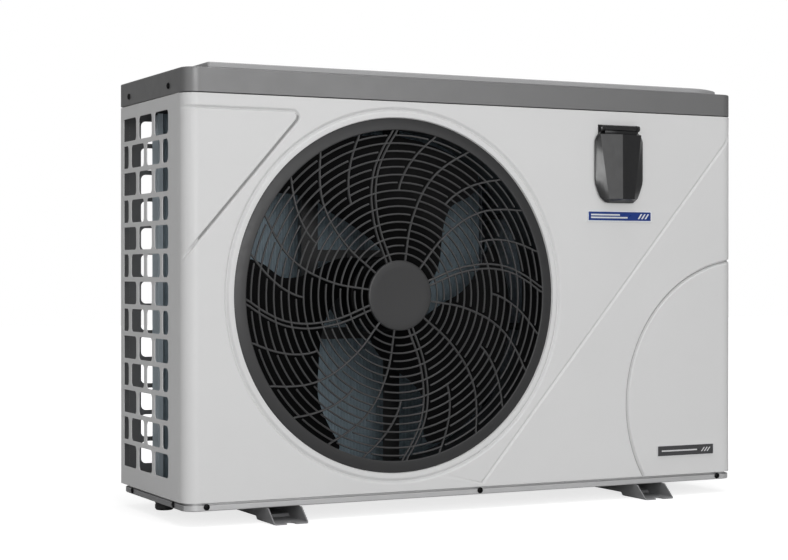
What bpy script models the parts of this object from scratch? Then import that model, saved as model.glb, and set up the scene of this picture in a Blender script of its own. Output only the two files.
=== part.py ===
# Pool heat pump unit: box casing on two foot rails, axial fan behind a round
# grille, flat evaporator coil at the back, refrigeration circuit and water
# heat exchanger on the right, controller under a flip-up flap on the front.
#
# Lengths are worked out in millimetres in the casing's own coordinates
# (x to the right, y to the back, z up, zero at the lower front left corner of
# the front panel) and turned into metres about the object's origin, which is
# the middle of its footprint at the level of the rails' undersides.

import math

import bmesh
import bpy
from mathutils import Matrix, Vector
from mathutils.geometry import tessellate_polygon

# ---------------------------------------------------------------- dimensions
CASE_W = 954.0          # casing width
CASE_D = 291.8          # casing depth, without the rails
BAND_Z0 = 584.0         # lower edge of the dark top band
BAND_Z1 = 619.4         # upper edge of the dark top band
LID_Z1 = 627.4          # top of the raised lid
CORNER_R = 21.6         # vertical corner radius at the front
REAR_R = 3.0            # bend radius at the rear
SHEET = 1.2             # casing sheet thickness
GAP = 0.3               # gap between touching pieces
PAN_Z0 = -11.0          # underside of the base pan
RAIL_Z0 = -33.0         # underside of the foot rails
RAIL_FRONT = -30.0      # rails' front end
RAIL_BACK = 321.8       # rails' back end
RAIL_LEFT_X = (124.0, 178.0)
RAIL_RIGHT_X = (760.0, 814.0)
FAN_X, FAN_Z = 340.0, 293.5     # fan axis
GRILLE_R = 264.9        # outer radius of the grille
GRILLE_RIM_R = 247.0    # inner radius of the grille's rim
GRILLE_HUB_R = 52.5
BLADE_R = 245.0         # fan blade tip radius
SIDE_ROW_Z1 = 563.5     # top of the highest row of air openings
SIDE_ROW_PITCH = 41.6
CELL_H = 34.5
CELL_W = 60.0
CELL_PITCH = 72.5
ROWS = 13
FLAP_OPEN_DEG = 110.0   # how far the controller flap opens
UNION_PITCH = 4.0       # thread pitch of the water unions
WATER_Y = 205.0         # y of both water connections
WATER_Z_IN = 95.0
WATER_Z_OUT = 330.0
UNION_END_X = 1016.0    # outer end of the water connections
BUTTON_TRAVEL = 1.2

# the object's origin in casing coordinates
X_LOW = -2.5
CX = (X_LOW + UNION_END_X) / 2.0
CY = (RAIL_FRONT + RAIL_BACK) / 2.0
CZ = RAIL_Z0
MM = 0.001

for _o in list(bpy.data.objects):
    bpy.data.objects.remove(_o, do_unlink=True)

scene = bpy.context.scene
collection = scene.collection


# ----------------------------------------------------------------- materials
def material(name, colour, rough, metal=0.0, alpha=1.0):
    mat = bpy.data.materials.new(name)
    mat.use_nodes = True
    bsdf = mat.node_tree.nodes["Principled BSDF"]
    bsdf.inputs["Base Color"].default_value = (*colour, 1.0)
    bsdf.inputs["Roughness"].default_value = rough
    bsdf.inputs["Metallic"].default_value = metal
    bsdf.inputs["Alpha"].default_value = alpha
    mat.diffuse_color = (*colour, 1.0)
    return mat


COL = {
    "casing": ((0.62, 0.62, 0.62), 0.45, 0.0),
    "band": ((0.085, 0.085, 0.088), 0.5, 0.0),
    "lid": ((0.42, 0.42, 0.43), 0.45, 0.0),
    "pan": ((0.55, 0.55, 0.56), 0.45, 0.0),
    "rail": ((0.10, 0.10, 0.105), 0.5, 0.2),
    "grille": ((0.055, 0.055, 0.057), 0.5, 0.0),
    "black": ((0.012, 0.012, 0.013), 0.5, 0.0),
    "gloss": ((0.02, 0.02, 0.022), 0.25, 0.0),
    "coil": ((0.16, 0.26, 0.34), 0.45, 0.3),
    "zinc": ((0.55, 0.56, 0.58), 0.4, 0.9),
    "steel": ((0.6, 0.6, 0.61), 0.25, 1.0),
    "copper": ((0.72, 0.33, 0.18), 0.3, 1.0),
    "brass": ((0.72, 0.53, 0.22), 0.3, 1.0),
    "pvc": ((0.10, 0.105, 0.11), 0.4, 0.0),
    "rubber": ((0.02, 0.02, 0.02), 0.8, 0.0),
    "titanium": ((0.42, 0.40, 0.38), 0.35, 1.0),
    "board": ((0.02, 0.16, 0.07), 0.5, 0.0),
    "display": ((0.01, 0.012, 0.015), 0.08, 0.0),
    "button": ((0.25, 0.26, 0.27), 0.5, 0.0),
    "blue": ((0.02, 0.09, 0.42), 0.35, 0.0),
    "badge": ((0.08, 0.08, 0.085), 0.35, 0.0),
}


def own_material(obj, key):
    colour, rough, metal = COL[key]
    obj.data.materials.clear()
    obj.data.materials.append(material(obj.name + "_material", colour, rough, metal))


# ------------------------------------------------------------------- helpers
def world(p):
    """A point in casing millimetres as a point in metres about the origin."""
    return Vector(((p[0] - CX) * MM, (p[1] - CY) * MM, (p[2] - CZ) * MM))


def build(name, verts, faces, key="casing"):
    """A closed object from casing-millimetre vertices, faces pointing out."""
    mesh = bpy.data.meshes.new(name)
    mesh.from_pydata([world(v) for v in verts], [], faces)
    bm = bmesh.new()
    bm.from_mesh(mesh)
    bmesh.ops.remove_doubles(bm, verts=bm.verts, dist=1e-6)
    bmesh.ops.recalc_face_normals(bm, faces=bm.faces)
    bm.to_mesh(mesh)
    bm.free()
    obj = bpy.data.objects.new(name, mesh)
    collection.objects.link(obj)
    own_material(obj, key)
    return obj


def place(obj, origin, parent=None):
    """Put the object's origin at a casing-millimetre point."""
    at = world(origin)
    obj.data.transform(Matrix.Translation(obj.location - at))
    obj.location = at
    if parent is not None:
        obj.parent = parent
        obj.location = at - parent.location
    return obj


def axis_empty(name, at):
    empty = bpy.data.objects.new(name, None)
    empty.location = world(at)
    empty.empty_display_size = 0.05
    collection.objects.link(empty)
    return empty


def smooth(obj, degrees=35.0):
    obj.data.shade_smooth()
    obj.data.set_sharp_from_angle(angle=math.radians(degrees))
    return obj


def combine(obj, others, operation="UNION"):
    """Exact Boolean of obj with each helper object, which is then removed."""
    for other in others:
        mod = obj.modifiers.new("cut", "BOOLEAN")
        mod.operation = operation
        mod.solver = "EXACT"
        mod.object = other
        bpy.context.view_layer.update()
        depsgraph = bpy.context.evaluated_depsgraph_get()
        mesh = bpy.data.meshes.new_from_object(obj.evaluated_get(depsgraph))
        obj.modifiers.remove(mod)
        obj.data = mesh
        bpy.data.objects.remove(other, do_unlink=True)
    bm = bmesh.new()
    bm.from_mesh(obj.data)
    bmesh.ops.remove_doubles(bm, verts=bm.verts, dist=2e-6)
    bmesh.ops.dissolve_degenerate(bm, dist=2e-6, edges=bm.edges)
    bm.to_mesh(obj.data)
    bm.free()
    keep = obj.data.materials[0]
    obj.data.materials.clear()
    obj.data.materials.append(keep)
    for poly in obj.data.polygons:
        poly.material_index = 0
    return obj


def rect(u0, u1, v0, v1):
    return [(u0, v0), (u1, v0), (u1, v1), (u0, v1)]


def arc(cu, cv, r, a0, a1, n):
    return [(cu + r * math.cos(math.radians(a0 + (a1 - a0) * i / n)),
             cv + r * math.sin(math.radians(a0 + (a1 - a0) * i / n)))
            for i in range(n + 1)]


def circle(cu, cv, r, n, start=0.0):
    return [(cu + r * math.cos(math.radians(start + 360.0 * i / n)),
             cv + r * math.sin(math.radians(start + 360.0 * i / n)))
            for i in range(n)]


def slot(cu, cv, width, length, n=4):
    """Outline of a slot that is long in v."""
    h = (length - width) / 2.0
    return (arc(cu, cv + h, width / 2.0, 0.0, 180.0, n)
            + arc(cu, cv - h, width / 2.0, 180.0, 360.0, n))


PLANES = {
    "xy": lambda u, v, d: (u, v, d),
    "xz": lambda u, v, d: (u, d, v),
    "yz": lambda u, v, d: (d, u, v),
}


def cap(loops):
    """Triangles of a flat outline with holes, as indices into all its points."""
    return [tuple(t) for t in tessellate_polygon(
        [[Vector((u, v, 0.0)) for u, v in loop] for loop in loops])]


def plate(name, outer, holes, plane, d0, d1, key="casing"):
    """A flat outline with holes, given a thickness from d0 to d1."""
    to = PLANES[plane]
    loops = [outer] + list(holes)
    flat = [p for loop in loops for p in loop]
    n = len(flat)
    verts = [to(u, v, d0) for u, v in flat] + [to(u, v, d1) for u, v in flat]
    faces = []
    if len(loops) == 1 and len(outer) <= 4:
        faces += [tuple(range(n)), tuple(range(n, 2 * n))]
    else:
        tris = cap(loops)
        faces += tris + [tuple(i + n for i in t) for t in tris]
    start = 0
    for loop in loops:
        m = len(loop)
        for i in range(m):
            a, b = start + i, start + (i + 1) % m
            faces.append((a, b, b + n, a + n))
        start += m
    return build(name, verts, faces, key)


def box(name, x, y, z, key="casing"):
    return plate(name, rect(x[0], x[1], y[0], y[1]), [], "xy", z[0], z[1], key)


def lathe(name, centre, axis, profile, segments, key="casing", start=0.0):
    """Turn a profile of (radius, height) points about an axis. A profile whose
    ends have no radius is a solid; any other profile is closed on itself."""
    c = Vector(centre)
    basis = {"x": (Vector((0, 1, 0)), Vector((0, 0, 1)), Vector((1, 0, 0))),
             "y": (Vector((1, 0, 0)), Vector((0, 0, 1)), Vector((0, 1, 0))),
             "z": (Vector((1, 0, 0)), Vector((0, 1, 0)), Vector((0, 0, 1)))}[axis]
    e1, e2, e3 = basis
    rows, verts = [], []
    for r, h in profile:
        if r == 0.0:
            rows.append([len(verts)] * segments)
            verts.append(tuple(c + e3 * h))
        else:
            row = []
            for i in range(segments):
                a = math.radians(start + 360.0 * i / segments)
                row.append(len(verts))
                verts.append(tuple(c + e1 * (r * math.cos(a)) + e2 * (r * math.sin(a)) + e3 * h))
            rows.append(row)
    closed = profile[0][0] != 0.0 or profile[-1][0] != 0.0
    count = len(rows) if closed else len(rows) - 1
    faces = []
    for k in range(count):
        low, high = rows[k], rows[(k + 1) % len(rows)]
        for i in range(segments):
            j = (i + 1) % segments
            face = []
            for v in (low[i], low[j], high[j], high[i]):
                if v not in face:
                    face.append(v)
            if len(face) > 2:
                faces.append(tuple(face))
    return build(name, verts, faces, key)


def rounded_route(points, radius, steps):
    """The corners of a polyline replaced by arcs of the given radius."""
    pts = [Vector(p) for p in points]
    out = [pts[0]]
    for i in range(1, len(pts) - 1):
        a = (pts[i - 1] - pts[i])
        b = (pts[i + 1] - pts[i])
        la, lb = a.length, b.length
        a.normalize()
        b.normalize()
        half = a.angle(b) / 2.0
        cut = min(radius / math.tan(half), 0.48 * la, 0.48 * lb)
        r = cut * math.tan(half)
        p0, p1 = pts[i] + a * cut, pts[i] + b * cut
        centre = pts[i] + (a + b).normalized() * (r / math.sin(half))
        v0, v1 = p0 - centre, p1 - centre
        total = v0.angle(v1)
        turn = v0.cross(v1).normalized()
        for k in range(steps + 1):
            out.append(centre + Matrix.Rotation(total * k / steps, 3, turn) @ v0)
    out.append(pts[-1])
    return out


def tube(name, points, r, sides, key="copper"):
    """A closed round bar along a route."""
    pts = [Vector(p) for p in points]
    n = len(pts)
    tangents = []
    for i in range(n):
        t = Vector((0, 0, 0))
        if i > 0:
            t += (pts[i] - pts[i - 1]).normalized()
        if i < n - 1:
            t += (pts[i + 1] - pts[i]).normalized()
        tangents.append(t.normalized())
    side = tangents[0].orthogonal().normalized()
    verts, faces = [], []
    for i in range(n):
        if i:
            side = (side - tangents[i] * side.dot(tangents[i])).normalized()
        other = tangents[i].cross(side)
        for k in range(sides):
            a = 2.0 * math.pi * k / sides
            verts.append(tuple(pts[i] + side * (r * math.cos(a)) + other * (r * math.sin(a))))
    for i in range(n - 1):
        for k in range(sides):
            j = (k + 1) % sides
            faces.append((i * sides + k, i * sides + j, (i + 1) * sides + j, (i + 1) * sides + k))
    faces.append(tuple(range(sides)))
    faces.append(tuple(range((n - 1) * sides, n * sides)))
    return build(name, verts, faces, key)


def offset_path(path, t, closed):
    """The polyline moved to its left by t, with mitred corners."""
    n = len(path)
    out = []
    for i in range(n):
        normals = []
        for a, b in (((i - 1) % n, i), (i, (i + 1) % n)):
            if not closed and (b < a or (a == i and i == n - 1)):
                continue
            dx, dy = path[b][0] - path[a][0], path[b][1] - path[a][1]
            length = math.hypot(dx, dy)
            normals.append((-dy / length, dx / length))
        nx = sum(v[0] for v in normals) / len(normals)
        ny = sum(v[1] for v in normals) / len(normals)
        s = t / (nx * nx + ny * ny)
        out.append((path[i][0] + nx * s, path[i][1] + ny * s))
    return out


def folded_sheet(name, path, t, z0, z1, windows=None, key="casing", recess=None):
    """A sheet of thickness t standing on an open plan path, its outer face on
    the path and its thickness to the path's left. windows maps a segment to
    outlines cut through it, in (distance along the segment, z). recess is one
    round hole with a sunken shelf in a segment: (segment, distance, z, radius,
    inner radius, depth, sides)."""
    windows = windows or {}
    inner = offset_path(path, t, False)
    verts, faces = [], []

    def add(p):
        verts.append(p)
        return len(verts) - 1

    o0 = [add((x, y, z0)) for x, y in path]
    o1 = [add((x, y, z1)) for x, y in path]
    i0 = [add((x, y, z0)) for x, y in inner]
    i1 = [add((x, y, z1)) for x, y in inner]
    last = len(path) - 1
    for k in range(last):
        a, b = Vector(path[k]), Vector(path[k + 1])
        along = (b - a).normalized()
        normal = Vector((-along.y, along.x))
        length = (b - a).length
        holes = list(windows.get(k, []))
        deep = recess if recess and recess[0] == k else None
        if not holes and deep is None:
            faces.append((o0[k], o0[k + 1], o1[k + 1], o1[k]))
            faces.append((i0[k], i0[k + 1], i1[k + 1], i1[k]))
        else:
            def spot(s, z, d):
                q = a + along * s + normal * d
                return (q.x, q.y, z)

            sides_out, sides_in = list(holes), list(holes)
            if deep:
                _, ds, dz, r, r_in, depth, count = deep
                sides_out.append(circle(ds, dz, r, count))
                sides_in.append(circle(ds, dz, r + t, count))
            rings = []
            for loops, d, corners in ((sides_out, 0.0, (o0[k], o0[k + 1], o1[k + 1], o1[k])),
                                      (sides_in, t, (i0[k], i0[k + 1], i1[k + 1], i1[k]))):
                index = list(corners)
                starts = []
                for loop in loops:
                    starts.append(len(index))
                    index += [add(spot(s, z, d)) for s, z in loop]
                outline = rect(0.0, length, z0, z1)
                for tri in cap([outline] + loops):
                    faces.append(tuple(index[v] for v in tri))
                rings.append((index, starts))
            for h, loop in enumerate(holes):
                m = len(loop)
                io, ii = rings[0][0][rings[0][1][h]:], rings[1][0][rings[1][1][h]:]
                for q in range(m):
                    w = (q + 1) % m
                    faces.append((io[q], io[w], ii[w], ii[q]))
            if deep:
                first = rings[0][0][rings[0][1][-1]:]
                end = rings[1][0][rings[1][1][-1]:]
                chain = [first[:count]]
                for r2, d in ((r - 0.3, depth - t), (r_in, depth - t), (r_in, depth), (r + t - 0.3, depth)):
                    chain.append([add(spot(s, z, d)) for s, z in circle(ds, dz, r2, count)])
                chain.append(end[:count])
                for low, high in zip(chain, chain[1:]):
                    for q in range(count):
                        w = (q + 1) % count
                        faces.append((low[q], low[w], high[w], high[q]))
        faces.append((o0[k], o0[k + 1], i0[k + 1], i0[k]))
        faces.append((o1[k], o1[k + 1], i1[k + 1], i1[k]))
    for k in (0, last):
        faces.append((o0[k], o1[k], i1[k], i0[k]))
    return build(name, verts, faces, key)


def round_rect(x0, x1, y0, y1, front_r, rear_r, inset=0.0, n=4):
    """Plan outline with its corners rounded, counter-clockwise from the front
    left, moved inwards by inset."""
    x0, x1, y0, y1 = x0 + inset, x1 - inset, y0 + inset, y1 - inset
    f, r = max(front_r - inset, 0.4), max(rear_r - inset, 0.4)
    return (arc(x0 + f, y0 + f, f, 180, 270, n) + arc(x1 - f, y0 + f, f, 270, 360, n)
            + arc(x1 - r, y1 - r, r, 0, 90, n) + arc(x0 + r, y1 - r, r, 90, 180, n))


def stacked(name, loops, key, close=False, caps=(None, None), holes=((), ())):
    """Skin successive plan loops of equal count, each (points, z). With close
    the last joins the first; otherwise the ends are capped."""
    n = len(loops[0][0])
    verts, faces = [], []
    for pts, z in loops:
        verts += [(x, y, z) for x, y in pts]
    count = len(loops)
    for k in range(count if close else count - 1):
        a, b = k * n, ((k + 1) % count) * n
        for i in range(n):
            j = (i + 1) % n
            faces.append((a + i, a + j, b + j, b + i))
    if not close:
        for loop_no in (0, count - 1):
            base = loop_no * n
            for tri in cap([loops[loop_no][0]]):
                faces.append(tuple(base + v for v in tri))
    return build(name, verts, faces, key)


# ------------------------------------------------------- air opening pattern
def side_cells():
    """Openings of the left side, in (y, z): rows of three, and rows of two
    with a half opening at each end."""
    cells = []
    for row in range(ROWS):
        z1 = SIDE_ROW_Z1 - SIDE_ROW_PITCH * row
        z0 = z1 - CELL_H
        if row % 2 == 0:
            spans = [(70.5 + CELL_PITCH * k, 70.5 + CELL_PITCH * k + CELL_W) for k in range(3)]
        else:
            spans = [(70.5, 96.0), (106.75, 166.75), (179.25, 239.25), (251.5, 275.5)]
        cells += [(a, b, z0, z1) for a, b in spans]
    return cells


def rear_cells():
    """Openings of the back, in (x, z), the same rows over the coil's width."""
    cells = []
    for row in range(ROWS):
        z1 = SIDE_ROW_Z1 - SIDE_ROW_PITCH * row
        z0 = z1 - CELL_H
        first, x = 33.0, 33.0
        if row % 2 == 0:
            spans = [(first + CELL_PITCH * k, first + CELL_PITCH * k + CELL_W) for k in range(8)]
        else:
            spans = [(33.0, 56.75)]
            spans += [(69.25 + CELL_PITCH * k, 69.25 + CELL_PITCH * k + CELL_W) for k in range(7)]
            spans += [(576.75, 600.5)]
        cells += [(a, b, z0, z1) for a, b in spans]
    return cells


# ====================================================================== base
pan_outline = [round_rect(1.5, CASE_W - 1.5, 1.5, CASE_D - 1.5, CORNER_R - 1.5, 24.0, d) for d in (0.0, 1.5)]
base_pan = stacked("base_pan", [(pan_outline[0], 16.0), (pan_outline[0], PAN_Z0)], "pan")
combine(base_pan, [stacked("cut", [(pan_outline[1], 20.0), (pan_outline[1], PAN_Z0 + 1.5)], "pan")], "DIFFERENCE")
combine(base_pan, [lathe("cut", (22.0, 150.0, 0.0), "z", [(0, -14), (9.0, -14), (9.0, -5), (0, -5)], 12)]
        + [lathe("cut", (x, 0.0, -5.0), "y", [(0, -2), (2.3, -2), (2.3, 6), (0, 6)], 8) for x in (33.0, 477.0, 921.0)]
        + [lathe("cut", (0.0, y, -5.2), "x", [(0, -2), (2.3, -2), (2.3, 6), (0, 6)], 8) for y in (52.0, 237.0)],
        "DIFFERENCE")
place(base_pan, (CASE_W / 2, CASE_D / 2, PAN_Z0))


def foot_rail(name, span):
    """Open-topped channel with sloping ends and a raised middle."""
    x0, x1 = span
    t = 2.0
    top = PAN_Z0 - GAP
    stations = [(0, RAIL_Z0), (37.0, RAIL_Z0), (40.0, RAIL_Z0 + 5.0),
                (CASE_D - 40.0, RAIL_Z0 + 5.0), (CASE_D - 37.0, RAIL_Z0), (1, RAIL_Z0)]
    verts, faces = [], []
    for y, zb in stations:
        section = [(x0, zb), (x1, zb), (x1, top), (x1 - t, top), (x1 - t, zb + t), (x0 + t, zb + t), (x0 + t, top), (x0, top)]
        for x, z in section:
            s = (z - RAIL_Z0) / (top - RAIL_Z0)
            if y == 0:
                yy = RAIL_FRONT + 25.0 * s
            elif y == 1:
                yy = RAIL_BACK - 25.0 * s
            else:
                yy = y
            verts.append((x, yy, z))
    n = 8
    for k in range(len(stations) - 1):
        for i in range(n):
            j = (i + 1) % n
            faces.append((k * n + i, k * n + j, (k + 1) * n + j, (k + 1) * n + i))
    for base in (0, (len(stations) - 1) * n):
        faces += [(base + 0, base + 1, base + 4, base + 5), (base + 1, base + 2, base + 3, base + 4),
                  (base + 0, base + 5, base + 6, base + 7)]
    rail = build(name, verts, faces, "rail")
    mid = (x0 + x1) / 2.0
    combine(rail, [box("cut", (mid - 7, mid + 7), (RAIL_FRONT - 5, RAIL_FRONT + 16), (RAIL_Z0 - 3, RAIL_Z0 + 4)),
                   box("cut", (mid - 7, mid + 7), (RAIL_BACK - 16, RAIL_BACK + 5), (RAIL_Z0 - 3, RAIL_Z0 + 4))],
            "DIFFERENCE")
    return place(rail, (mid, CASE_D / 2, RAIL_Z0))


foot_rail("foot_rail_left", RAIL_LEFT_X)
foot_rail("foot_rail_right", RAIL_RIGHT_X)

drain = lathe("drain_spout", (22.0, 150.0, 0.0), "z",
              [(8.6, -7.0), (8.6, PAN_Z0 - GAP), (14.0, PAN_Z0 - GAP), (14.0, -22.0), (12.0, -25.0),
               (6.5, -25.0), (6.5, -7.0)], 16, "black")
place(smooth(drain), (22.0, 150.0, PAN_Z0))

# =================================================================== casing
panel_top = BAND_Z0 - GAP
front_path = ([(0.0, 27.0)] + arc(CORNER_R, CORNER_R, CORNER_R, 180, 270, 4)
              + arc(CASE_W - CORNER_R, CORNER_R, CORNER_R, 270, 360, 4) + [(CASE_W, 27.0)])
FLAT = 5        # the front's flat segment comes after the return and four arc steps
flat_x0 = CORNER_R
keypad_hole = [(692.6 - flat_x0, 448.6), (760.4 - flat_x0, 448.6), (760.4 - flat_x0, 541.4), (692.6 - flat_x0, 541.4)]
front_panel = folded_sheet("front_panel", front_path, SHEET, 0.0, panel_top, {FLAT: [keypad_hole]}, "casing",
                           recess=(FLAT, FAN_X - flat_x0, FAN_Z, GRILLE_R + 0.9, 252.0, 5.1, 48))
place(front_panel, (CASE_W / 2, 0.0, 0.0))

left_path = [(14.0, CASE_D), (REAR_R, CASE_D), (0.9, CASE_D - 0.9), (0.0, CASE_D - REAR_R), (0.0, 27.4)]
left_windows = [rect(CASE_D - REAR_R - b, CASE_D - REAR_R - a, z0, z1) for a, b, z0, z1 in side_cells()]
left_panel = folded_sheet("left_side_panel", left_path, SHEET, 0.0, panel_top, {3: left_windows})
place(left_panel, (0.0, CASE_D / 2, 0.0))

right_path = [(CASE_W, 27.4), (CASE_W, CASE_D - REAR_R), (CASE_W - 0.9, CASE_D - 0.9), (CASE_W - REAR_R, CASE_D),
              (CASE_W - 14.0, CASE_D)]
right_windows = [circle(WATER_Y - 27.4, z, 36.5, 20) for z in (WATER_Z_IN, WATER_Z_OUT)]
right_windows.append(circle(120.0 - 27.4, 470.0, 8.6, 12))
right_panel = folded_sheet("right_side_panel", right_path, SHEET, 0.0, panel_top, {0: right_windows})
place(right_panel, (CASE_W, CASE_D / 2, 0.0))

rear_panel = plate("rear_panel", rect(14.4, CASE_W - 14.4, 0.0, panel_top),
                   [rect(a, b, z0, z1) for a, b, z0, z1 in rear_cells()], "xz", CASE_D - SHEET, CASE_D)
place(rear_panel, (CASE_W / 2, CASE_D, 0.0))

band = [round_rect(0.0, CASE_W, 0.0, CASE_D, CORNER_R, REAR_R, d) for d in (0.0, 1.2, 1.6)]
band.append(round_rect(16.0, CASE_W, 0.0, CASE_D, CORNER_R, REAR_R, 30.0))
top_trim = stacked("top_trim", [(band[0], BAND_Z0), (band[0], BAND_Z1 - 1.2), (band[1], BAND_Z1),
                                (band[3], BAND_Z1), (band[3], BAND_Z1 - 1.4), (band[2], BAND_Z1 - 1.4),
                                (band[2], BAND_Z0)], "band", close=True)
combine(top_trim, [lathe("cut", (0.0, y, 597.0), "x", [(0, -3), (2.4, -3), (2.4, 4), (0, 4)], 8) for y in (68.0, 248.0)],
        "DIFFERENCE")
place(top_trim, (CASE_W / 2, CASE_D / 2, BAND_Z0))

# raised lid: square at the left, its front right corner swept back
lid_outline = [(36.0, 3.5), (877.0, 3.5), (891.0, 5.5), (904.0, 10.0), (916.0, 16.5), (928.0, 24.0), (938.0, 31.5),
               (944.0, 38.0), (946.0, 47.0), (946.0, 284.0), (36.0, 284.0)]
lid_in = offset_path(lid_outline, 1.2, True)
lid_z0 = BAND_Z1 + GAP
lid_top = offset_path(lid_outline, 0.8, True)
top_lid = stacked("top_lid", [(lid_in, LID_Z1 - 1.2), (lid_in, lid_z0), (lid_outline, lid_z0),
                              (lid_outline, LID_Z1 - 0.8), (lid_top, LID_Z1)], "lid")
place(top_lid, (CASE_W / 2, CASE_D / 2, LID_Z1))


def screw(name, at, axis, sign):
    """Domed pan head with a short shank; the head's underside is at height 0."""
    s = sign
    prof = [(0, -2.2 * s), (3.4, -1.7 * s), (4.5, 0.0), (2.0, 0.0), (2.0, 9.0 * s), (0, 9.0 * s)]
    obj = lathe(name, at, axis, prof, 8, "black")
    return place(smooth(obj), at)


screw("trim_screw_left_front", (-0.3, 68.0, 597.0), "x", 1)
screw("trim_screw_left_rear", (-0.3, 248.0, 597.0), "x", 1)
for tag, sx in (("left", 33.0), ("middle", 477.0), ("right", 921.0)):
    screw("base_screw_front_" + tag, (sx, 1.2, -5.0), "y", 1)
screw("base_screw_side_front", (1.2, 52.0, -5.2), "x", 1)
screw("base_screw_side_rear", (1.2, 237.0, -5.2), "x", 1)

# ================================================================== fan side
# grille: rim, hub, two rings and twelve swept spokes in one flat piece
SPOKES = 12
RING_R = [52.5, 115.0, 180.0, 247.0]
RIB = 4.0


def sweep_deg(r):
    """How far a spoke has turned at radius r."""
    table = [(52.5, 0.0), (92.0, 1.0), (113.0, 0.0), (156.0, -3.5), (191.0, -8.0), (247.0, -18.5)]
    for (r0, a0), (r1, a1) in zip(table, table[1:]):
        if r <= r1:
            return a0 + (a1 - a0) * (r - r0) / (r1 - r0)
    return table[-1][1]


grille_windows = []
for ring in range(3):
    low, high = RING_R[ring], RING_R[ring + 1]
    lo = low if ring == 0 else low + RIB / 2.0
    hi = high if ring == 2 else high - RIB / 2.0
    steps = 1 if ring == 0 else 2
    for k in range(SPOKES):
        base = 110.0 - 30.0 * (k + 1)

        def at(r, frac):
            half = math.degrees(RIB / 2.0 / r)
            a0 = base + sweep_deg(r) + half
            a1 = base + 30.0 + sweep_deg(r) - half
            a = math.radians(a0 + (a1 - a0) * frac)
            return (FAN_X + r * math.cos(a), FAN_Z + r * math.sin(a))
        mid_r = (lo + hi) / 2.0
        outline = [at(lo, i / steps) for i in range(steps + 1)]
        outline.append(at(mid_r, 1.0))
        outline += [at(hi, 1.0 - i / steps) for i in range(steps + 1)]
        outline.append(at(mid_r, 0.0))
        grille_windows.append(outline)
grille = plate("fan_grille", circle(FAN_X, FAN_Z, GRILLE_R, 48), grille_windows, "xz", 0.0, 3.6, "grille")
place(grille, (FAN_X, 0.0, FAN_Z))

# fan orifice: a short bell-mouthed duct round the blades
orifice = lathe("fan_orifice", (FAN_X, 0.0, FAN_Z), "y",
                [(253.0, 5.5), (267.0, 5.5), (267.0, 7.0), (258.5, 12.0), (256.5, 22.0), (256.5, 76.0), (255.0, 76.0),
                 (255.0, 20.0), (253.0, 12.0)], 32, "black")
place(smooth(orifice), (FAN_X, 5.5, FAN_Z))

fan_axis = axis_empty("fan_axis", (FAN_X, 70.0, FAN_Z))
rotor = lathe("fan_rotor", (FAN_X, 0.0, FAN_Z), "y",
              [(6.4, 52.0), (46.0, 50.0), (58.0, 52.0), (58.0, 97.0), (55.0, 97.0),
               (55.0, 64.0), (20.0, 62.0), (20.0, 90.0), (6.4, 90.0)], 18, "black")

# blade outline: radius, angles of the front and the back edge, and their depths
BLADE = [(54.5, -2.0, 60.0, 53.0, 92.0), (90.0, 21.0, 92.0, 46.0, 108.0), (130.0, 44.0, 112.0, 42.0, 118.0),
         (169.0, 51.0, 121.0, 42.0, 120.0), (208.0, 47.0, 132.0, 43.0, 120.0), (BLADE_R, 46.0, 142.0, 45.0, 119.0)]


def blade(turn_deg):
    """One swept, twisted blade of a three-bladed axial fan."""
    rs = [row[0] for row in BLADE]
    n = 6
    front, back = [], []
    for r, first, last, y0, y1 in BLADE:
        s = (r - 54.5) / (BLADE_R - 54.5)
        for i in range(n):
            f = i / (n - 1.0)
            a = math.radians(turn_deg + first + (last - first) * f)
            y = y0 + (y1 - y0) * f - 4.0 * math.sin(math.pi * f) * s
            p = (FAN_X + r * math.cos(a), y, FAN_Z + r * math.sin(a))
            front.append(p)
            back.append((p[0], y + (3.2 - 1.2 * s), p[2]))
    m = len(rs)
    verts = front + back
    k = len(front)
    faces = []
    for a in range(m - 1):
        for i in range(n - 1):
            q = (a * n + i, a * n + i + 1, (a + 1) * n + i + 1, (a + 1) * n + i)
            faces += [q[:3], (q[0], q[2], q[3])]
            faces += [tuple(v + k for v in q[:3]), (q[0] + k, q[2] + k, q[3] + k)]
    edge = ([i for i in range(n)] + [a * n + n - 1 for a in range(1, m)]
            + [(m - 1) * n + i for i in range(n - 2, -1, -1)] + [a * n for a in range(m - 2, 0, -1)])
    for i, v in enumerate(edge):
        w = edge[(i + 1) % len(edge)]
        faces.append((v, w, w + k, v + k))
    return build("blade", verts, faces, "black")


for turn_deg in (-120.0, 0.0, 120.0):
    combine(rotor, [blade(turn_deg)])
place(smooth(rotor), (FAN_X, 70.0, FAN_Z), fan_axis)

nut = lathe("fan_nut", (FAN_X, 0.0, FAN_Z), "y", [(0, 38.0), (5.5, 38.6), (9.0, 42.0), (9.5, 44.0), (11.5, 44.0),
            (11.5, 51.7), (6.4, 51.7), (6.4, 46.5), (0, 46.5)], 12, "zinc")
place(nut, (FAN_X, 70.0, FAN_Z), fan_axis)
shaft = lathe("motor_shaft", (FAN_X, 0.0, FAN_Z), "y", [(0, 47.0), (6.0, 47.0), (6.0, 128.0), (0, 128.0)], 16, "steel")
place(smooth(shaft), (FAN_X, 70.0, FAN_Z), fan_axis)

motor = lathe("fan_motor", (FAN_X, 0.0, FAN_Z), "y",
              [(0, 172.0), (30.0, 172.0), (46.0, 168.0), (48.0, 160.0), (48.0, 112.0), (44.0, 106.0), (18.0, 104.0),
               (14.0, 99.0), (6.6, 99.0), (6.6, 130.0), (0, 130.0)], 16, "black")
ears = [box("ear", (FAN_X - 9 + dx, FAN_X + 9 + dx), (168.0, 173.4), (FAN_Z + z0, FAN_Z + z1), "black")
        for dx in (0.0,) for z0, z1 in ((30.0, 64.0), (-64.0, -30.0))]
combine(motor, ears)
place(smooth(motor), (FAN_X, 172.0, FAN_Z))

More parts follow.
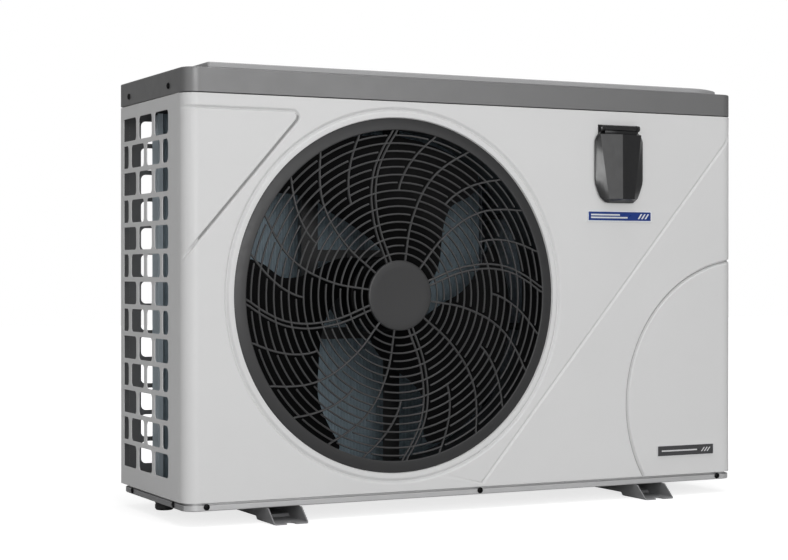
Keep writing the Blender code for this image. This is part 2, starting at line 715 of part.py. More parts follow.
BR_IN, BR_OUT = 57.4, 85.4
bracket = plate("motor_bracket", rect(FAN_X - BR_OUT, FAN_X + BR_OUT, PAN_Z0 + 1.8, 574.0),
                [rect(FAN_X - BR_IN, FAN_X + BR_IN, 8.0, FAN_Z - 70.0),
                 rect(FAN_X - BR_IN, FAN_X + BR_IN, FAN_Z - 52.0, FAN_Z + 52.0),
                 rect(FAN_X - BR_IN, FAN_X + BR_IN, FAN_Z + 70.0, 558.0)], "xz", 173.7, 176.2, "black")
combine(bracket, [box("fl", (FAN_X + s * BR_OUT - (2.0 if s > 0 else 0.0), FAN_X + s * BR_OUT + (0.0 if s > 0 else 2.0)),
                      (175.0, 188.0), (PAN_Z0 + 1.8, 574.0), "black") for s in (-1, 1)])
place(bracket, (FAN_X, 174.0, 0.0))

# ---------------------------------------------------------------- evaporator
coil_z = (PAN_Z0 + 1.8, 572.0)
coil = box("evaporator_coil", (52.0, 610.0), (240.0, 278.0), coil_z, "coil")
place(coil, (331.0, 259.0, 0.0))
left_end = folded_sheet("coil_end_plate_left", [(51.7, 283.0), (50.4, 283.0), (50.4, 236.0), (42.0, 236.0)][::-1], 1.2,
                        coil_z[0], coil_z[1], None, "zinc")
place(left_end, (51.0, 259.0, 0.0))
right_end = box("coil_end_plate_right", (610.3, 611.5), (236.0, 283.0), coil_z, "zinc")
place(right_end, (611.0, 259.0, 0.0))

# ============================================================ technical side
partition = plate("partition_plate", rect(7.0, 282.0, PAN_Z0 + 1.8, 574.0),
                  [circle(110.0, 240.0, 7.0, 10), circle(90.0, 421.0, 7.5, 10)], "yz", 632.0, 633.2, "zinc")
place(partition, (632.6, 144.0, 0.0))

COMP = (728.0, 150.0)
compressor = lathe("compressor", (COMP[0], COMP[1], 0.0), "z",
                   [(0, 16.0), (48.0, 17.0), (57.0, 24.0), (58.0, 34.0), (60.5, 36.0), (60.5, 44.0), (58.0, 46.0),
                    (58.0, 232.0), (54.0, 250.0), (38.0, 262.0), (0, 268.0)], 18, "black")
lobes = []
for a in (90.0, 210.0, 330.0):
    lobes.append((COMP[0] + 84.0 * math.cos(math.radians(a)), COMP[1] + 84.0 * math.sin(math.radians(a))))
foot_outline = []
for a, (lx, ly) in zip((90.0, 210.0, 330.0), lobes):
    foot_outline += arc(lx, ly, 16.0, a - 60.0, a + 60.0, 4)
feet = plate("feet", foot_outline, [circle(lx, ly, 8.0, 10) for lx, ly in lobes], "xy", 12.3, 16.5, "black")
stub = lathe("stub", (COMP[0] + 20.0, COMP[1], 0.0), "z", [(0, 255.0), (7.5, 255.0), (7.5, 285.0), (0, 285.0)], 10)
cover = box("term", (COMP[0] - 46.0, COMP[0] - 10.0), (COMP[1] - 16.0, COMP[1] + 16.0), (245.0, 282.0))
combine(compressor, [feet, stub, cover])
place(smooth(compressor), (COMP[0], COMP[1], 12.3))
for k, (lx, ly) in enumerate(lobes):
    g = lathe("compressor_grommet_%d" % (k + 1), (lx, ly, 0.0), "z",
              [(0, PAN_Z0 + 1.8), (14.0, PAN_Z0 + 1.8), (12.5, 1.0), (14.0, 12.0), (7.5, 12.0), (7.5, 16.8),
               (10.5, 16.8), (9.0, 23.0), (0, 24.0)], 10, "rubber")
    place(smooth(g), (lx, ly, PAN_Z0 + 1.8))

accumulator = lathe("accumulator", (666.0, 226.0, 0.0), "z",
                    [(0, 44.0), (20.0, 47.0), (29.0, 58.0), (29.0, 186.0), (20.0, 197.0), (0, 200.0)], 16, "black")
combine(accumulator, [tube("elbow", rounded_route([(666.0, 226.0, 55.0), (666.0, 226.0, 27.0), (690.4, 196.1, 27.0)],
                                                  12.0, 2), 6.5, 7)])
place(smooth(accumulator), (666.0, 226.0, 120.0))

VALVE = (735.0, 96.0, 362.0)
valve = lathe("four_way_valve", VALVE, "x", [(0, -50.0), (10.0, -49.0), (14.0, -46.0), (14.0, 46.0), (10.0, 49.0), (0, 50.0)],
              14, "brass")
combine(valve, [lathe("s", (VALVE[0], VALVE[1], 0.0), "z", [(0, 372.0), (7.5, 372.0), (7.5, 392.0), (0, 392.0)], 8)]
        + [lathe("s", (VALVE[0] + dx, VALVE[1], 0.0), "z", [(0, 330.0), (7.5, 330.0), (7.5, 352.0), (0, 352.0)], 8)
           for dx in (-24.0, 0.0, 24.0)]
        + [lathe("s", (VALVE[0], 0.0, VALVE[2]), "y", [(0, 60.0), (10.0, 60.0), (10.0, 84.0), (0, 84.0)], 10)])
place(smooth(valve), VALVE)


def pipe(name, route, r, radius=18.0, sides=7, steps=2):
    obj = tube(name, rounded_route(route, radius, steps), r, sides, "copper")
    return place(smooth(obj), route[0])


pipe("discharge_pipe", [(748.0, 150.0, 285.3), (748.0, 150.0, 412.0), (735.0, 96.0, 412.0), (735.0, 96.0, 392.3)], 6.5, 14.0)
pipe("suction_pipe", [(735.0, 96.0, 329.7), (735.0, 96.0, 308.0), (666.0, 226.0, 308.0), (666.0, 226.0, 200.3)], 6.5, 18.0)
pipe("hot_gas_pipe", [(759.0, 96.0, 329.7), (759.0, 96.0, 306.0), (798.0, 96.0, 306.0), (798.0, 96.0, 404.0),
                      (908.0, 96.0, 404.0), (908.0, 150.0, 418.0), (908.0, WATER_Y, 418.0), (908.0, WATER_Y, 403.3)], 5.5, 12.0)
pipe("coil_gas_pipe", [(711.0, 96.0, 329.7), (711.0, 96.0, 312.0), (670.0, 110.0, 312.0), (670.0, 110.0, 240.0),
                       (618.5, 110.0, 240.0), (618.5, 262.0, 240.0), (611.8, 262.0, 240.0)], 5.5, 12.0)

# liquid line with its expansion valve
liquid = tube("liquid_line", rounded_route([(868.0, WATER_Y, 403.3), (868.0, WATER_Y, 421.0), (850.0, 130.0, 421.0), (850.0, 60.0, 421.0),
                                            (660.0, 60.0, 421.0), (660.0, 90.0, 421.0), (618.5, 90.0, 421.0),
                                            (618.5, 262.0, 421.0), (611.8, 262.0, 421.0)], 11.0, 2), 4.5, 6)
combine(liquid, [lathe("x", (780.0, 60.0, 421.0), "x", [(0, -20.0), (10.0, -19.0), (10.0, 19.0), (0, 20.0)], 10),
                 lathe("x", (780.0, 60.0, 0.0), "z", [(0, 392.0), (12.0, 393.0), (12.0, 414.0), (0, 415.0)], 10)])
place(smooth(liquid), (868.0, WATER_Y, 403.3))

# water heat exchanger: upright shell with two side ports
HX = (868.0, WATER_Y)
shell = lathe("heat_exchanger_shell", (HX[0], HX[1], 0.0), "z",
              [(0, PAN_Z0 + 1.8), (58.0, PAN_Z0 + 1.8), (60.0, 0.0), (60.0, 22.0), (57.0, 26.0), (57.0, 354.0), (60.0, 358.0), (60.0, 378.0),
               (56.0, 385.0), (0, 385.0)], 18, "pvc")
for z in (WATER_Z_IN, WATER_Z_OUT):
    combine(shell, [lathe("p", (0.0, HX[1], z), "x", [(0, 900.0), (35.0, 900.0), (35.0, 966.0), (0, 966.0)], 16)])
combine(shell, [lathe("c", (HX[0], HX[1], 0.0), "z", [(0, 6.0), (52.5, 6.0), (52.5, 372.0), (0, 372.0)], 18)], "DIFFERENCE")
for z in (WATER_Z_IN, WATER_Z_OUT):
    combine(shell, [lathe("b", (0.0, HX[1], z), "x", [(0, 890.0), (24.0, 890.0), (24.0, 970.0), (0, 970.0)], 12)], "DIFFERENCE")
combine(shell, [lathe("h", (x, HX[1], 0.0), "z", [(0, 366.0), (6.6, 366.0), (6.6, 390.0), (0, 390.0)], 10) for x in (868.0, 908.0)],
        "DIFFERENCE")
place(smooth(shell, 30.0), (HX[0], HX[1], 0.0))

turns, per_turn = 5, 9
helix = [(908.0, WATER_Y, 403.0), (908.0, WATER_Y, 362.0)]
for i in range(turns * per_turn + 1):
    a = 2.0 * math.pi * i / per_turn
    helix.append((HX[0] + 40.0 * math.cos(a), HX[1] + 40.0 * math.sin(a), 350.0 - 300.0 * i / (turns * per_turn)))
helix += [(898.0, WATER_Y, 32.0), (880.0, WATER_Y, 24.0), (868.0, WATER_Y, 34.0), (868.0, WATER_Y, 403.0)]
titanium = tube("titanium_coil", helix, 6.0, 5, "titanium")
place(smooth(titanium, 50.0), (HX[0], HX[1], 200.0))

# water unions: seal, tailpiece and nut at each port
for tag, z in (("inlet", WATER_Z_IN), ("outlet", WATER_Z_OUT)):
    axis = axis_empty(tag + "_union_axis", (968.0, WATER_Y, z))
    seal = lathe(tag + "_union_seal", (0.0, WATER_Y, z), "x",
                 [(27.0, 966.3), (31.0, 966.3), (31.0, 968.3), (27.0, 968.3)], 14, "rubber")
    place(smooth(seal), (968.0, WATER_Y, z))
    tail = lathe("water_%s_tailpiece" % tag, (0.0, WATER_Y, z), "x",
                 [(34.5, 968.6), (34.5, 973.6), (30.0, 974.6), (30.0, UNION_END_X), (25.2, UNION_END_X), (25.2, 982.0),
                  (22.0, 982.0), (22.0, 968.6)], 16, "pvc")
    place(smooth(tail), (968.0, WATER_Y, z), axis)
    nut_prof = [(36.2, 957.0), (43.0, 957.0), (43.0, 976.0), (40.5, 980.0), (30.8, 980.0), (30.8, 974.9), (36.2, 974.0)]
    turn = lathe(tag + "_union_nut", (0.0, WATER_Y, z), "x", nut_prof, 16, "pvc")
    place(smooth(turn), (968.0, WATER_Y, z), axis)

# electrical compartment
ebox = plate("eb", rect(648.0, 930.0, 434.0, 566.0), [], "xz", 40.0, 262.0, "zinc")
ebox.name = "electric_box"
ebox.data.name = "electric_box"
combine(ebox, [box("c", (649.2, 928.8), (41.2, 260.8), (435.2, 580.0))], "DIFFERENCE")
place(ebox, (789.0, 151.0, 434.0))
ecover = plate("electric_box_cover", rect(646.0, 932.0, 38.0, 264.0), [], "xy", 566.3, 567.5, "zinc")
place(ecover, (789.0, 151.0, 566.3))
board = box("control_board", (668.0, 908.0), (62.0, 240.0), (443.0, 444.6), "board")
combine(board, [box("p", (x0, x1), (y0, y1), (444.0, z1), "board") for x0, x1, y0, y1, z1 in
                ((680.0, 730.0, 80.0, 150.0, 480.0), (745.0, 775.0, 80.0, 110.0, 468.0), (745.0, 775.0, 130.0, 160.0, 468.0),
                 (800.0, 890.0, 70.0, 90.0, 456.0), (690.0, 760.0, 190.0, 228.0, 474.0), (800.0, 850.0, 140.0, 180.0, 451.0))]
        + [box("p", (x - 4, x + 4), (y - 4, y + 4), (435.5, 443.5), "board") for x, y in
           ((676.0, 70.0), (900.0, 70.0), (676.0, 232.0), (900.0, 232.0))])
place(board, (788.0, 151.0, 443.0))

gland = lathe("cable_gland", (0.0, 120.0, 470.0), "x",
              [(5.0, 940.0), (8.0, 940.0), (8.0, 954.3), (13.0, 954.3), (13.0, 960.0), (11.0, 961.0), (11.0, 972.0), (8.0, 977.0),
               (5.0, 977.0)], 12, "black")
place(smooth(gland), (954.0, 120.0, 470.0))

# ================================================================ controller
KX = 726.5
HINGE_Y, HINGE_Z = -6.7, 556.0
bezel_outline = [(689.0, 474.0), (695.0, 453.0), (704.0, 443.5), (749.0, 443.5), (758.0, 453.0), (764.0, 474.0), (764.0, 561.3),
                 (689.0, 561.3)]
housing = plate("controller_housing", bezel_outline, [], "xz", -1.5, -GAP, "gloss")
combine(housing, [box("b", (693.0, 760.0), (-0.9, 24.0), (449.0, 541.0), "gloss")])
combine(housing, [box("c", (699.0, 754.0), (-5.0, 9.0), (454.0, 536.0)),
                  box("c", (696.0, 757.0), (12.0, 30.0), (452.0, 538.0))]
        + [lathe("c", (bx, 0.0, 466.0), "y", [(0, 6.0), (3.4, 6.0), (3.4, 15.0), (0, 15.0)], 10) for bx in (710.0, KX, 743.0)],
        "DIFFERENCE")
for kx0, kx1 in ((691.5, 697.0), (756.0, 761.5)):
    combine(housing, [plate("w", rect(-5.0, -0.9, HINGE_Z - 4.0, HINGE_Z + 4.0), [], "yz", kx0, kx1),
                      lathe("k", (0.0, HINGE_Y, HINGE_Z), "x", [(0, kx0), (4.7, kx0), (4.7, kx1), (0, kx1)], 12)])
combine(housing, [lathe("c", (0.0, HINGE_Y, HINGE_Z), "x", [(0, 680.0), (1.9, 680.0), (1.9, 775.0), (0, 775.0)], 10)], "DIFFERENCE")
place(housing, (KX, 0.0, 500.0))

display = box("controller_display", (702.0, 751.0), (6.5, 8.7), (489.0, 533.0), "display")
place(display, (KX, 8.7, 511.0))
for k, bx in enumerate((710.0, KX, 743.0)):
    b = lathe("controller_button_%d" % (k + 1), (bx, 0.0, 466.0), "y",
              [(0, 4.3), (4.6, 4.5), (5.4, 5.2), (5.4, 7.5), (3.0, 7.5), (3.0, 13.5), (0, 13.5)], 10, "button")
    place(smooth(b), (bx, 7.5, 466.0))

flap_axis = axis_empty("flap_axis", (KX, HINGE_Y, HINGE_Z))
# closed outline at the flap's back, and the edges of its front facets
rim_pts = [(681.5, 470.0), (690.5, 447.0), (701.5, 438.0), (752.5, 438.0), (762.5, 446.0), (771.5, 470.0), (771.5, 539.0),
           (763.0, 549.8), (690.0, 549.8), (681.5, 539.0)]
n_rim = len(rim_pts)
fv = [(x, -2.0, z) for x, z in rim_pts] + [(x, -4.2, z) for x, z in rim_pts]
ridge_low, ridge_high = (KX, -14.0, 444.0), (KX, -14.0, 546.0)
edge_pts = [(688.0, -9.2, 546.0), (702.5, -9.2, 444.0), (750.5, -9.2, 444.0), (765.0, -9.2, 546.0)]
base_i = 2 * n_rim
fv += [ridge_low, ridge_high] + edge_pts
RL, RH, TL, BL, BR, TR = [base_i + i for i in range(6)]
r1 = [n_rim + i for i in range(n_rim)]
ff = [tuple(range(n_rim))[::-1]]
for i in range(n_rim):
    j = (i + 1) % n_rim
    ff.append((i, j, n_rim + j, n_rim + i))
ff += [(TL, BL, RL, RH), (RH, RL, BR, TR)]
ff += [(r1[9], r1[0], TL), (r1[0], BL, TL), (r1[0], r1[1], BL), (r1[1], r1[2], BL)]
ff += [(r1[2], r1[3], RL), (r1[2], RL, BL), (r1[3], BR, RL), (r1[3], r1[4], BR), (r1[4], r1[5], BR)]
ff += [(r1[5], TR, BR), (r1[5], r1[6], TR), (r1[6], r1[7], TR), (r1[7], RH, TR), (r1[7], r1[8], RH), (r1[8], TL, RH), (r1[8], r1[9], TL)]
flap = build("controller_flap", fv, ff, "gloss")
combine(flap, [plate("c", [(KX + (x - KX) * 0.80, 494.0 + (z - 494.0) * 0.86) for x, z in rim_pts], [], "xz", 0.0, -5.4)],
        "DIFFERENCE")
combine(flap, [box("w", (697.6, 755.4), (-8.6, -4.2), (546.5, HINGE_Z)),
               lathe("k", (0.0, HINGE_Y, HINGE_Z), "x", [(0, 697.3), (4.7, 697.3), (4.7, 755.7), (0, 755.7)], 12)])
combine(flap, [lathe("c", (0.0, HINGE_Y, HINGE_Z), "x", [(0, 680.0), (1.9, 680.0), (1.9, 775.0), (0, 775.0)], 10)], "DIFFERENCE")
place(flap, (KX, HINGE_Y, HINGE_Z), flap_axis)
pin = lathe("flap_hinge_pin", (0.0, HINGE_Y, HINGE_Z), "x", [(0, 692.0), (1.5, 692.0), (1.5, 761.0), (0, 761.0)], 10, "steel")
place(smooth(pin), (KX, HINGE_Y, HINGE_Z))

# plain badges, each a thin plate on the front panel
for name, x0, x1, z0, z1, key in (("badge_upper", 669.5, 790.0, 410.0, 424.0, "blue"), ("badge_lower", 801.5, 913.0, 32.0, 48.0, "badge")):
    plate_obj = plate(name, rect(x0, x1, z0, z1), [], "xz", -1.5, -GAP, key)
    place(plate_obj, ((x0 + x1) / 2, -GAP, (z0 + z1) / 2))
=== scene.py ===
# Looks of the pool heat pump unit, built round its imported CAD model.
#
# Lengths are in millimetres in the casing's own coordinates (x to the right,
# y to the back, z up, zero at the front panel's lower front left corner) and
# are turned into metres by W().

import math

import bmesh
import bpy
from mathutils import Matrix, Vector
from mathutils.geometry import delaunay_2d_cdt

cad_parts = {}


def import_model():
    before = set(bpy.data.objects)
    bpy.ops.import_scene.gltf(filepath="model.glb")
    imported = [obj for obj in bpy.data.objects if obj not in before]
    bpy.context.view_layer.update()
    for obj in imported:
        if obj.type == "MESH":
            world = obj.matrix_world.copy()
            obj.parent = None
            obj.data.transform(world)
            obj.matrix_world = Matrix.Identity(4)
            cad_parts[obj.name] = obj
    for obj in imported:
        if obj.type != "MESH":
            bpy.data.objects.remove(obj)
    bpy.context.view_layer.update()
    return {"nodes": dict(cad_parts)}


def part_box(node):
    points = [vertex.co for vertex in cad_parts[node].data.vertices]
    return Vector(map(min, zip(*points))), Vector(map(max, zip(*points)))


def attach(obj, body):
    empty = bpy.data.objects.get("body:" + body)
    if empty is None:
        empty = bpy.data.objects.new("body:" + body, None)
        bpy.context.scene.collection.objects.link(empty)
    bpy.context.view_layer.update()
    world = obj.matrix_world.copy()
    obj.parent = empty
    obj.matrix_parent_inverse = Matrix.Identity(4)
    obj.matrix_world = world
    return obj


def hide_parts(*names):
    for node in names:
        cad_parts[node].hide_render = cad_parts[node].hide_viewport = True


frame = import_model()
NODES = frame["nodes"]
MM = 0.001

_lo, _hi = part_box("front_panel")
X0, Y0, Z0 = _lo.x, _lo.y, _lo.z          # casing zero in the row frame
CASE_W = (_hi.x - _lo.x) / MM             # 954
PANEL_TOP = (_hi.z - _lo.z) / MM          # 583.7
CASE_D = (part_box("left_side_panel")[1].y - Y0) / MM
BAND_LO, BAND_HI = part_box("top_trim")
BAND_Z0, BAND_Z1 = (BAND_LO.z - Z0) / MM, (BAND_HI.z - Z0) / MM
LID_Z1 = (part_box("top_lid")[1].z - Z0) / MM
_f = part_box("fan_rotor")
_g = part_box("fan_grille")
FAN_X = ((_g[0].x + _g[1].x) / 2 - X0) / MM   # 340
FAN_Z = ((_g[0].z + _g[1].z) / 2 - Z0) / MM   # 293.5
CORNER_R, REAR_R, SHEET = 21.6, 3.0, 1.2


def W(x, y, z):
    return Vector((X0 + x * MM, Y0 + y * MM, Z0 + z * MM))


# ------------------------------------------------------------------ materials
class Mat:
    """A Principled material with its texture nodes."""

    def __init__(self, name, colour, rough=0.5, metal=0.0, spec=0.5):
        self.mat = bpy.data.materials.new(name)
        self.mat.use_nodes = True
        self.nt = self.mat.node_tree
        self.bsdf = self.nt.nodes["Principled BSDF"]
        self.colour = colour
        self.bsdf.inputs["Base Color"].default_value = (*colour, 1.0)
        self.bsdf.inputs["Roughness"].default_value = rough
        self.bsdf.inputs["Metallic"].default_value = metal
        self.bsdf.inputs["Specular IOR Level"].default_value = spec
        self.mat.diffuse_color = (*colour, 1.0)
        self.coord = self.nt.nodes.new("ShaderNodeTexCoord").outputs["Object"]
        self.bump_out = None

    def node(self, kind, **inputs):
        n = self.nt.nodes.new(kind)
        for key, value in inputs.items():
            n.inputs[key.replace("_", " ")].default_value = value
        return n

    def link(self, a, b):
        self.nt.links.new(a, b)

    def stretched(self, scale):
        m = self.nt.nodes.new("ShaderNodeMapping")
        m.inputs["Scale"].default_value = scale
        self.link(self.coord, m.inputs["Vector"])
        return m.outputs["Vector"]

    def noise(self, scale, detail=3.0, rough=0.5, vector=None):
        n = self.node("ShaderNodeTexNoise", Scale=scale, Detail=detail, Roughness=rough)
        self.link(vector or self.coord, n.inputs["Vector"])
        return n.outputs["Fac"]

    def voronoi(self, scale, feature="F1", vector=None, out="Distance"):
        n = self.nt.nodes.new("ShaderNodeTexVoronoi")
        n.feature = feature
        n.inputs["Scale"].default_value = scale
        self.link(vector or self.coord, n.inputs["Vector"])
        return n.outputs[out]

    def span(self, value, low, high, lo_in=0.0, hi_in=1.0):
        n = self.nt.nodes.new("ShaderNodeMapRange")
        n.inputs["From Min"].default_value = lo_in
        n.inputs["From Max"].default_value = hi_in
        n.inputs["To Min"].default_value = low
        n.inputs["To Max"].default_value = high
        self.link(value, n.inputs["Value"])
        return n.outputs["Result"]

    def math(self, op, a, b):
        n = self.nt.nodes.new("ShaderNodeMath")
        n.operation = op
        for i, v in enumerate((a, b)):
            if isinstance(v, (int, float)):
                n.inputs[i].default_value = v
            else:
                self.link(v, n.inputs[i])
        return n.outputs[0]

    def tint(self, factor, colour_a, colour_b):
        n = self.nt.nodes.new("ShaderNodeMix")
        n.data_type = "RGBA"
        n.inputs[6].default_value = (*colour_a, 1.0)
        n.inputs[7].default_value = (*colour_b, 1.0)
        self.link(factor, n.inputs[0])
        return n.outputs[2]

    def scale_colour(self, colour_out, factor):
        """Colour times a scalar."""
        n = self.nt.nodes.new("ShaderNodeVectorMath")
        n.operation = "SCALE"
        self.link(colour_out, n.inputs[0])
        self.link(factor, n.inputs["Scale"])
        return n.outputs[0]

    def base(self, out):
        self.link(out, self.bsdf.inputs["Base Color"])

    def rough(self, out):
        self.link(out, self.bsdf.inputs["Roughness"])

    def bump(self, height, strength, distance):
        b = self.nt.nodes.new("ShaderNodeBump")
        b.inputs["Strength"].default_value = strength
        b.inputs["Distance"].default_value = distance
        self.link(height, b.inputs["Height"])
        if self.bump_out is not None:
            self.link(self.bump_out, b.inputs["Normal"])
        self.bump_out = b.outputs["Normal"]
        self.link(self.bump_out, self.bsdf.inputs["Normal"])

    def vary(self, amount, scale, fine=0.0, fine_scale=2500.0):
        """Base colour times a soft patchy factor, with an optional fine grain."""
        f = self.span(self.noise(scale, 4.0, 0.55), 1.0 - amount, 1.0 + amount, 0.3, 0.7)
        if fine:
            g = self.span(self.noise(fine_scale, 2.0), 1.0 - fine, 1.0 + fine, 0.3, 0.7)
            f = self.math("MULTIPLY", f, g)
        rgb = self.nt.nodes.new("ShaderNodeRGB")
        rgb.outputs[0].default_value = (*self.colour, 1.0)
        self.base(self.scale_colour(rgb.outputs[0], f))
        return self


def powder_coat(name, colour, rough=0.45, grain=900.0, bump=0.10, vary=0.012, fine=0.012):
    """Powder-coated sheet: fine orange peel, a slight cloudiness and a faint grain."""
    m = Mat(name, colour, rough)
    m.vary(vary, 6.0, fine, 3200.0)
    m.rough(m.span(m.noise(45.0, 4.0), rough - 0.04, rough + 0.05, 0.3, 0.7))
    m.bump(m.noise(grain, 2.0, 0.45), bump, 0.00012)
    m.bump(m.noise(grain * 4.0, 2.0, 0.5), bump * 0.6, 0.00003)
    return m.mat


def moulded(name, colour, rough=0.45, grain=2600.0, bump=0.18, vary=0.03, coat=0.0):
    """Injection-moulded plastic with a spark-eroded grain."""
    m = Mat(name, colour, rough)
    m.vary(vary, 18.0, 0.03, 3800.0)
    m.rough(m.span(m.noise(120.0, 3.0), rough - 0.06, rough + 0.06, 0.3, 0.7))
    m.bump(m.voronoi(grain, "SMOOTH_F1"), bump, 0.00004)
    m.bump(m.noise(300.0, 3.0), bump * 0.5, 0.00006)
    m.bsdf.inputs["Coat Weight"].default_value = coat
    m.bsdf.inputs["Coat Roughness"].default_value = 0.12
    return m.mat


def galvanised(name, colour=(0.50, 0.515, 0.54), rough=0.42):
    """Zinc-coated sheet with its spangle."""
    m = Mat(name, colour, rough, metal=0.9)
    cell = m.voronoi(95.0, "F1", m.stretched((1.0, 1.0, 1.0)), "Color")
    sep = m.nt.nodes.new("ShaderNodeSeparateColor")
    m.link(cell, sep.inputs[0])
    f = m.math("MULTIPLY", m.span(sep.outputs[0], 0.82, 1.12), m.span(m.noise(320.0), 0.95, 1.05, 0.3, 0.7))
    rgb = m.nt.nodes.new("ShaderNodeRGB")
    rgb.outputs[0].default_value = (*colour, 1.0)
    m.base(m.scale_colour(rgb.outputs[0], f))
    m.rough(m.span(sep.outputs[1], rough - 0.08, rough + 0.1))
    m.bump(m.noise(700.0, 3.0), 0.08, 0.00004)
    return m.mat


def turned(name, colour, rough=0.25, scale=(60.0, 60.0, 2600.0), tarnish=None, vary=0.08):
    """Drawn or turned metal: fine lines along one direction, and a tarnish."""
    m = Mat(name, colour, rough, metal=1.0)
    lines = m.noise(1.0, 4.0, 0.6, m.stretched(scale))
    patch = m.noise(28.0, 5.0, 0.6)
    other = tarnish or tuple(c * 0.6 for c in colour)
    f = m.math("ADD", m.span(patch, -0.15, 0.75, 0.35, 0.75), m.span(lines, -0.1, 0.15))
    m.base(m.tint(f, colour, other))
    m.rough(m.math("ADD", m.span(lines, rough - 0.05, rough + 0.1), m.span(patch, -0.02, 0.16, 0.35, 0.75)))
    m.bump(lines, 0.10, 0.00003)
    return m.mat


def cast(name, colour, rough=0.62, bump=0.4):
    """Cast or shot-blasted black iron."""
    m = Mat(name, colour, rough)
    m.vary(0.16, 40.0, 0.10, 1400.0)
    m.rough(m.span(m.noise(160.0, 4.0), rough - 0.12, rough + 0.12, 0.3, 0.7))
    m.bump(m.noise(1500.0, 5.0, 0.6), bump, 0.00012)
    m.bump(m.noise(130.0, 4.0), bump * 0.4, 0.0003)
    return m.mat


M = {}
M["casing"] = powder_coat("casing_paint", (0.745, 0.745, 0.745), 0.44)
# darker grey painted into the bottoms of the front panel's moulded lines, as painted shade
M["casing_line"] = powder_coat("casing_line_paint", (0.46, 0.46, 0.46), 0.5)
# dark grey on the inner faces of the panels: painted shade for the unlit inside of the casing
M["inner"] = powder_coat("casing_inner_painted_shade", (0.15, 0.15, 0.153), 0.6)
M["end_plate"] = powder_coat("coated_end_plate", (0.58, 0.67, 0.73), 0.5, 700.0, 0.12, 0.04, 0.02)
M["band"] = powder_coat("band_paint", (0.238, 0.238, 0.240), 0.44, 1400.0, 0.14, 0.02, 0.02)
M["band"].node_tree.nodes["Principled BSDF"].inputs["Metallic"].default_value = 0.58
M["lid"] = powder_coat("lid_paint", (0.40, 0.40, 0.405), 0.46)
M["pan"] = powder_coat("pan_paint", (0.62, 0.62, 0.625), 0.40)
M["pan"].node_tree.nodes["Principled BSDF"].inputs["Metallic"].default_value = 0.55
# darker grey for the pan's left side only: painted shade
M["pan_hem"] = powder_coat("pan_side_painted_shade", (0.27, 0.27, 0.275), 0.46)
M["rail"] = powder_coat("rail_paint", (0.225, 0.225, 0.23), 0.42, 700.0, 0.22, 0.05, 0.03)
M["grille"] = moulded("grille_plastic", (0.031, 0.031, 0.032), 0.38)
M["wire"] = moulded("grille_wire_plastic", (0.046, 0.046, 0.047), 0.38)
M["fan"] = moulded("fan_plastic", (0.003, 0.003, 0.0033), 0.55, 1800.0, 0.22)
M["fan"].node_tree.nodes["Principled BSDF"].inputs["Specular IOR Level"].default_value = 0.10
M["duct"] = moulded("duct_plastic", (0.012, 0.012, 0.013), 0.5)
M["black_metal"] = powder_coat("bracket_paint", (0.012, 0.012, 0.013), 0.45, 900.0, 0.25, 0.1, 0.05)
M["motor"] = cast("motor_housing", (0.014, 0.014, 0.015), 0.5, 0.3)
M["cast"] = cast("compressor_enamel", (0.016, 0.016, 0.017), 0.38, 0.25)
M["housing"] = moulded("controller_plastic", (0.016, 0.016, 0.017), 0.34, 3000.0, 0.08)
M["zinc"] = galvanised("galvanised_sheet")
M["screw"] = turned("black_screw", (0.020, 0.020, 0.021), 0.42, (900.0, 900.0, 900.0), (0.01, 0.01, 0.01))
M["steel"] = turned("ground_steel", (0.56, 0.56, 0.58), 0.22)
M["copper"] = turned("copper_tube", (0.74, 0.36, 0.22), 0.28, (300.0, 300.0, 300.0), (0.36, 0.17, 0.10))
M["brass"] = turned("brass_body", (0.74, 0.54, 0.26), 0.30, (900.0, 900.0, 900.0), (0.42, 0.30, 0.15))
M["titanium"] = turned("titanium_tube", (0.45, 0.43, 0.40), 0.34, (400.0, 400.0, 400.0))
M["pvc"] = moulded("union_plastic", (0.105, 0.11, 0.115), 0.36, 2400.0, 0.10, 0.03)
M["pvc_light"] = moulded("tailpiece_plastic", (0.20, 0.205, 0.21), 0.34, 2400.0, 0.08, 0.03)
M["rubber"] = moulded("black_rubber", (0.018, 0.018, 0.018), 0.78, 1600.0, 0.3, 0.1)
M["gland"] = moulded("gland_nylon", (0.016, 0.016, 0.017), 0.45, 2400.0, 0.15)


def fin_material():
    """Blue hydrophilic coating on thin aluminium: faint bands and dust."""
    m = Mat("coil_fin_coating", (0.30, 0.42, 0.50), 0.42, metal=0.15)
    band = m.noise(1.0, 2.0, 0.5, m.stretched((420.0, 8.0, 60.0)))
    dust = m.noise(34.0, 5.0, 0.6)
    f = m.math("ADD", m.span(band, -0.2, 0.6, 0.3, 0.7), m.span(dust, -0.1, 0.45, 0.35, 0.75))
    m.base(m.tint(f, (0.37, 0.455, 0.51), (0.26, 0.33, 0.38)))
    m.rough(m.span(dust, 0.34, 0.55, 0.3, 0.7))
    m.bump(m.noise(1.0, 2.0, 0.5, m.stretched((60.0, 800.0, 1200.0))), 0.15, 0.00005)
    return m.mat


M["fin"] = fin_material()
M["coil_tube"] = turned("coated_tube", (0.10, 0.13, 0.15), 0.45, (300.0, 300.0, 300.0), (0.05, 0.065, 0.075))


def board_material():
    """Green solder mask with a faint track pattern."""
    m = Mat("circuit_board", (0.015, 0.15, 0.07), 0.38)
    tracks = m.voronoi(260.0, "DISTANCE_TO_EDGE", m.stretched((1.0, 0.35, 1.0)))
    line = m.span(tracks, 1.0, 0.0, 0.02, 0.06)
    m.base(m.tint(line, (0.012, 0.13, 0.055), (0.03, 0.26, 0.12)))
    m.rough(m.span(m.noise(400.0), 0.3, 0.46))
    m.bump(line, 0.2, 0.00004)
    return m.mat


M["board"] = board_material()


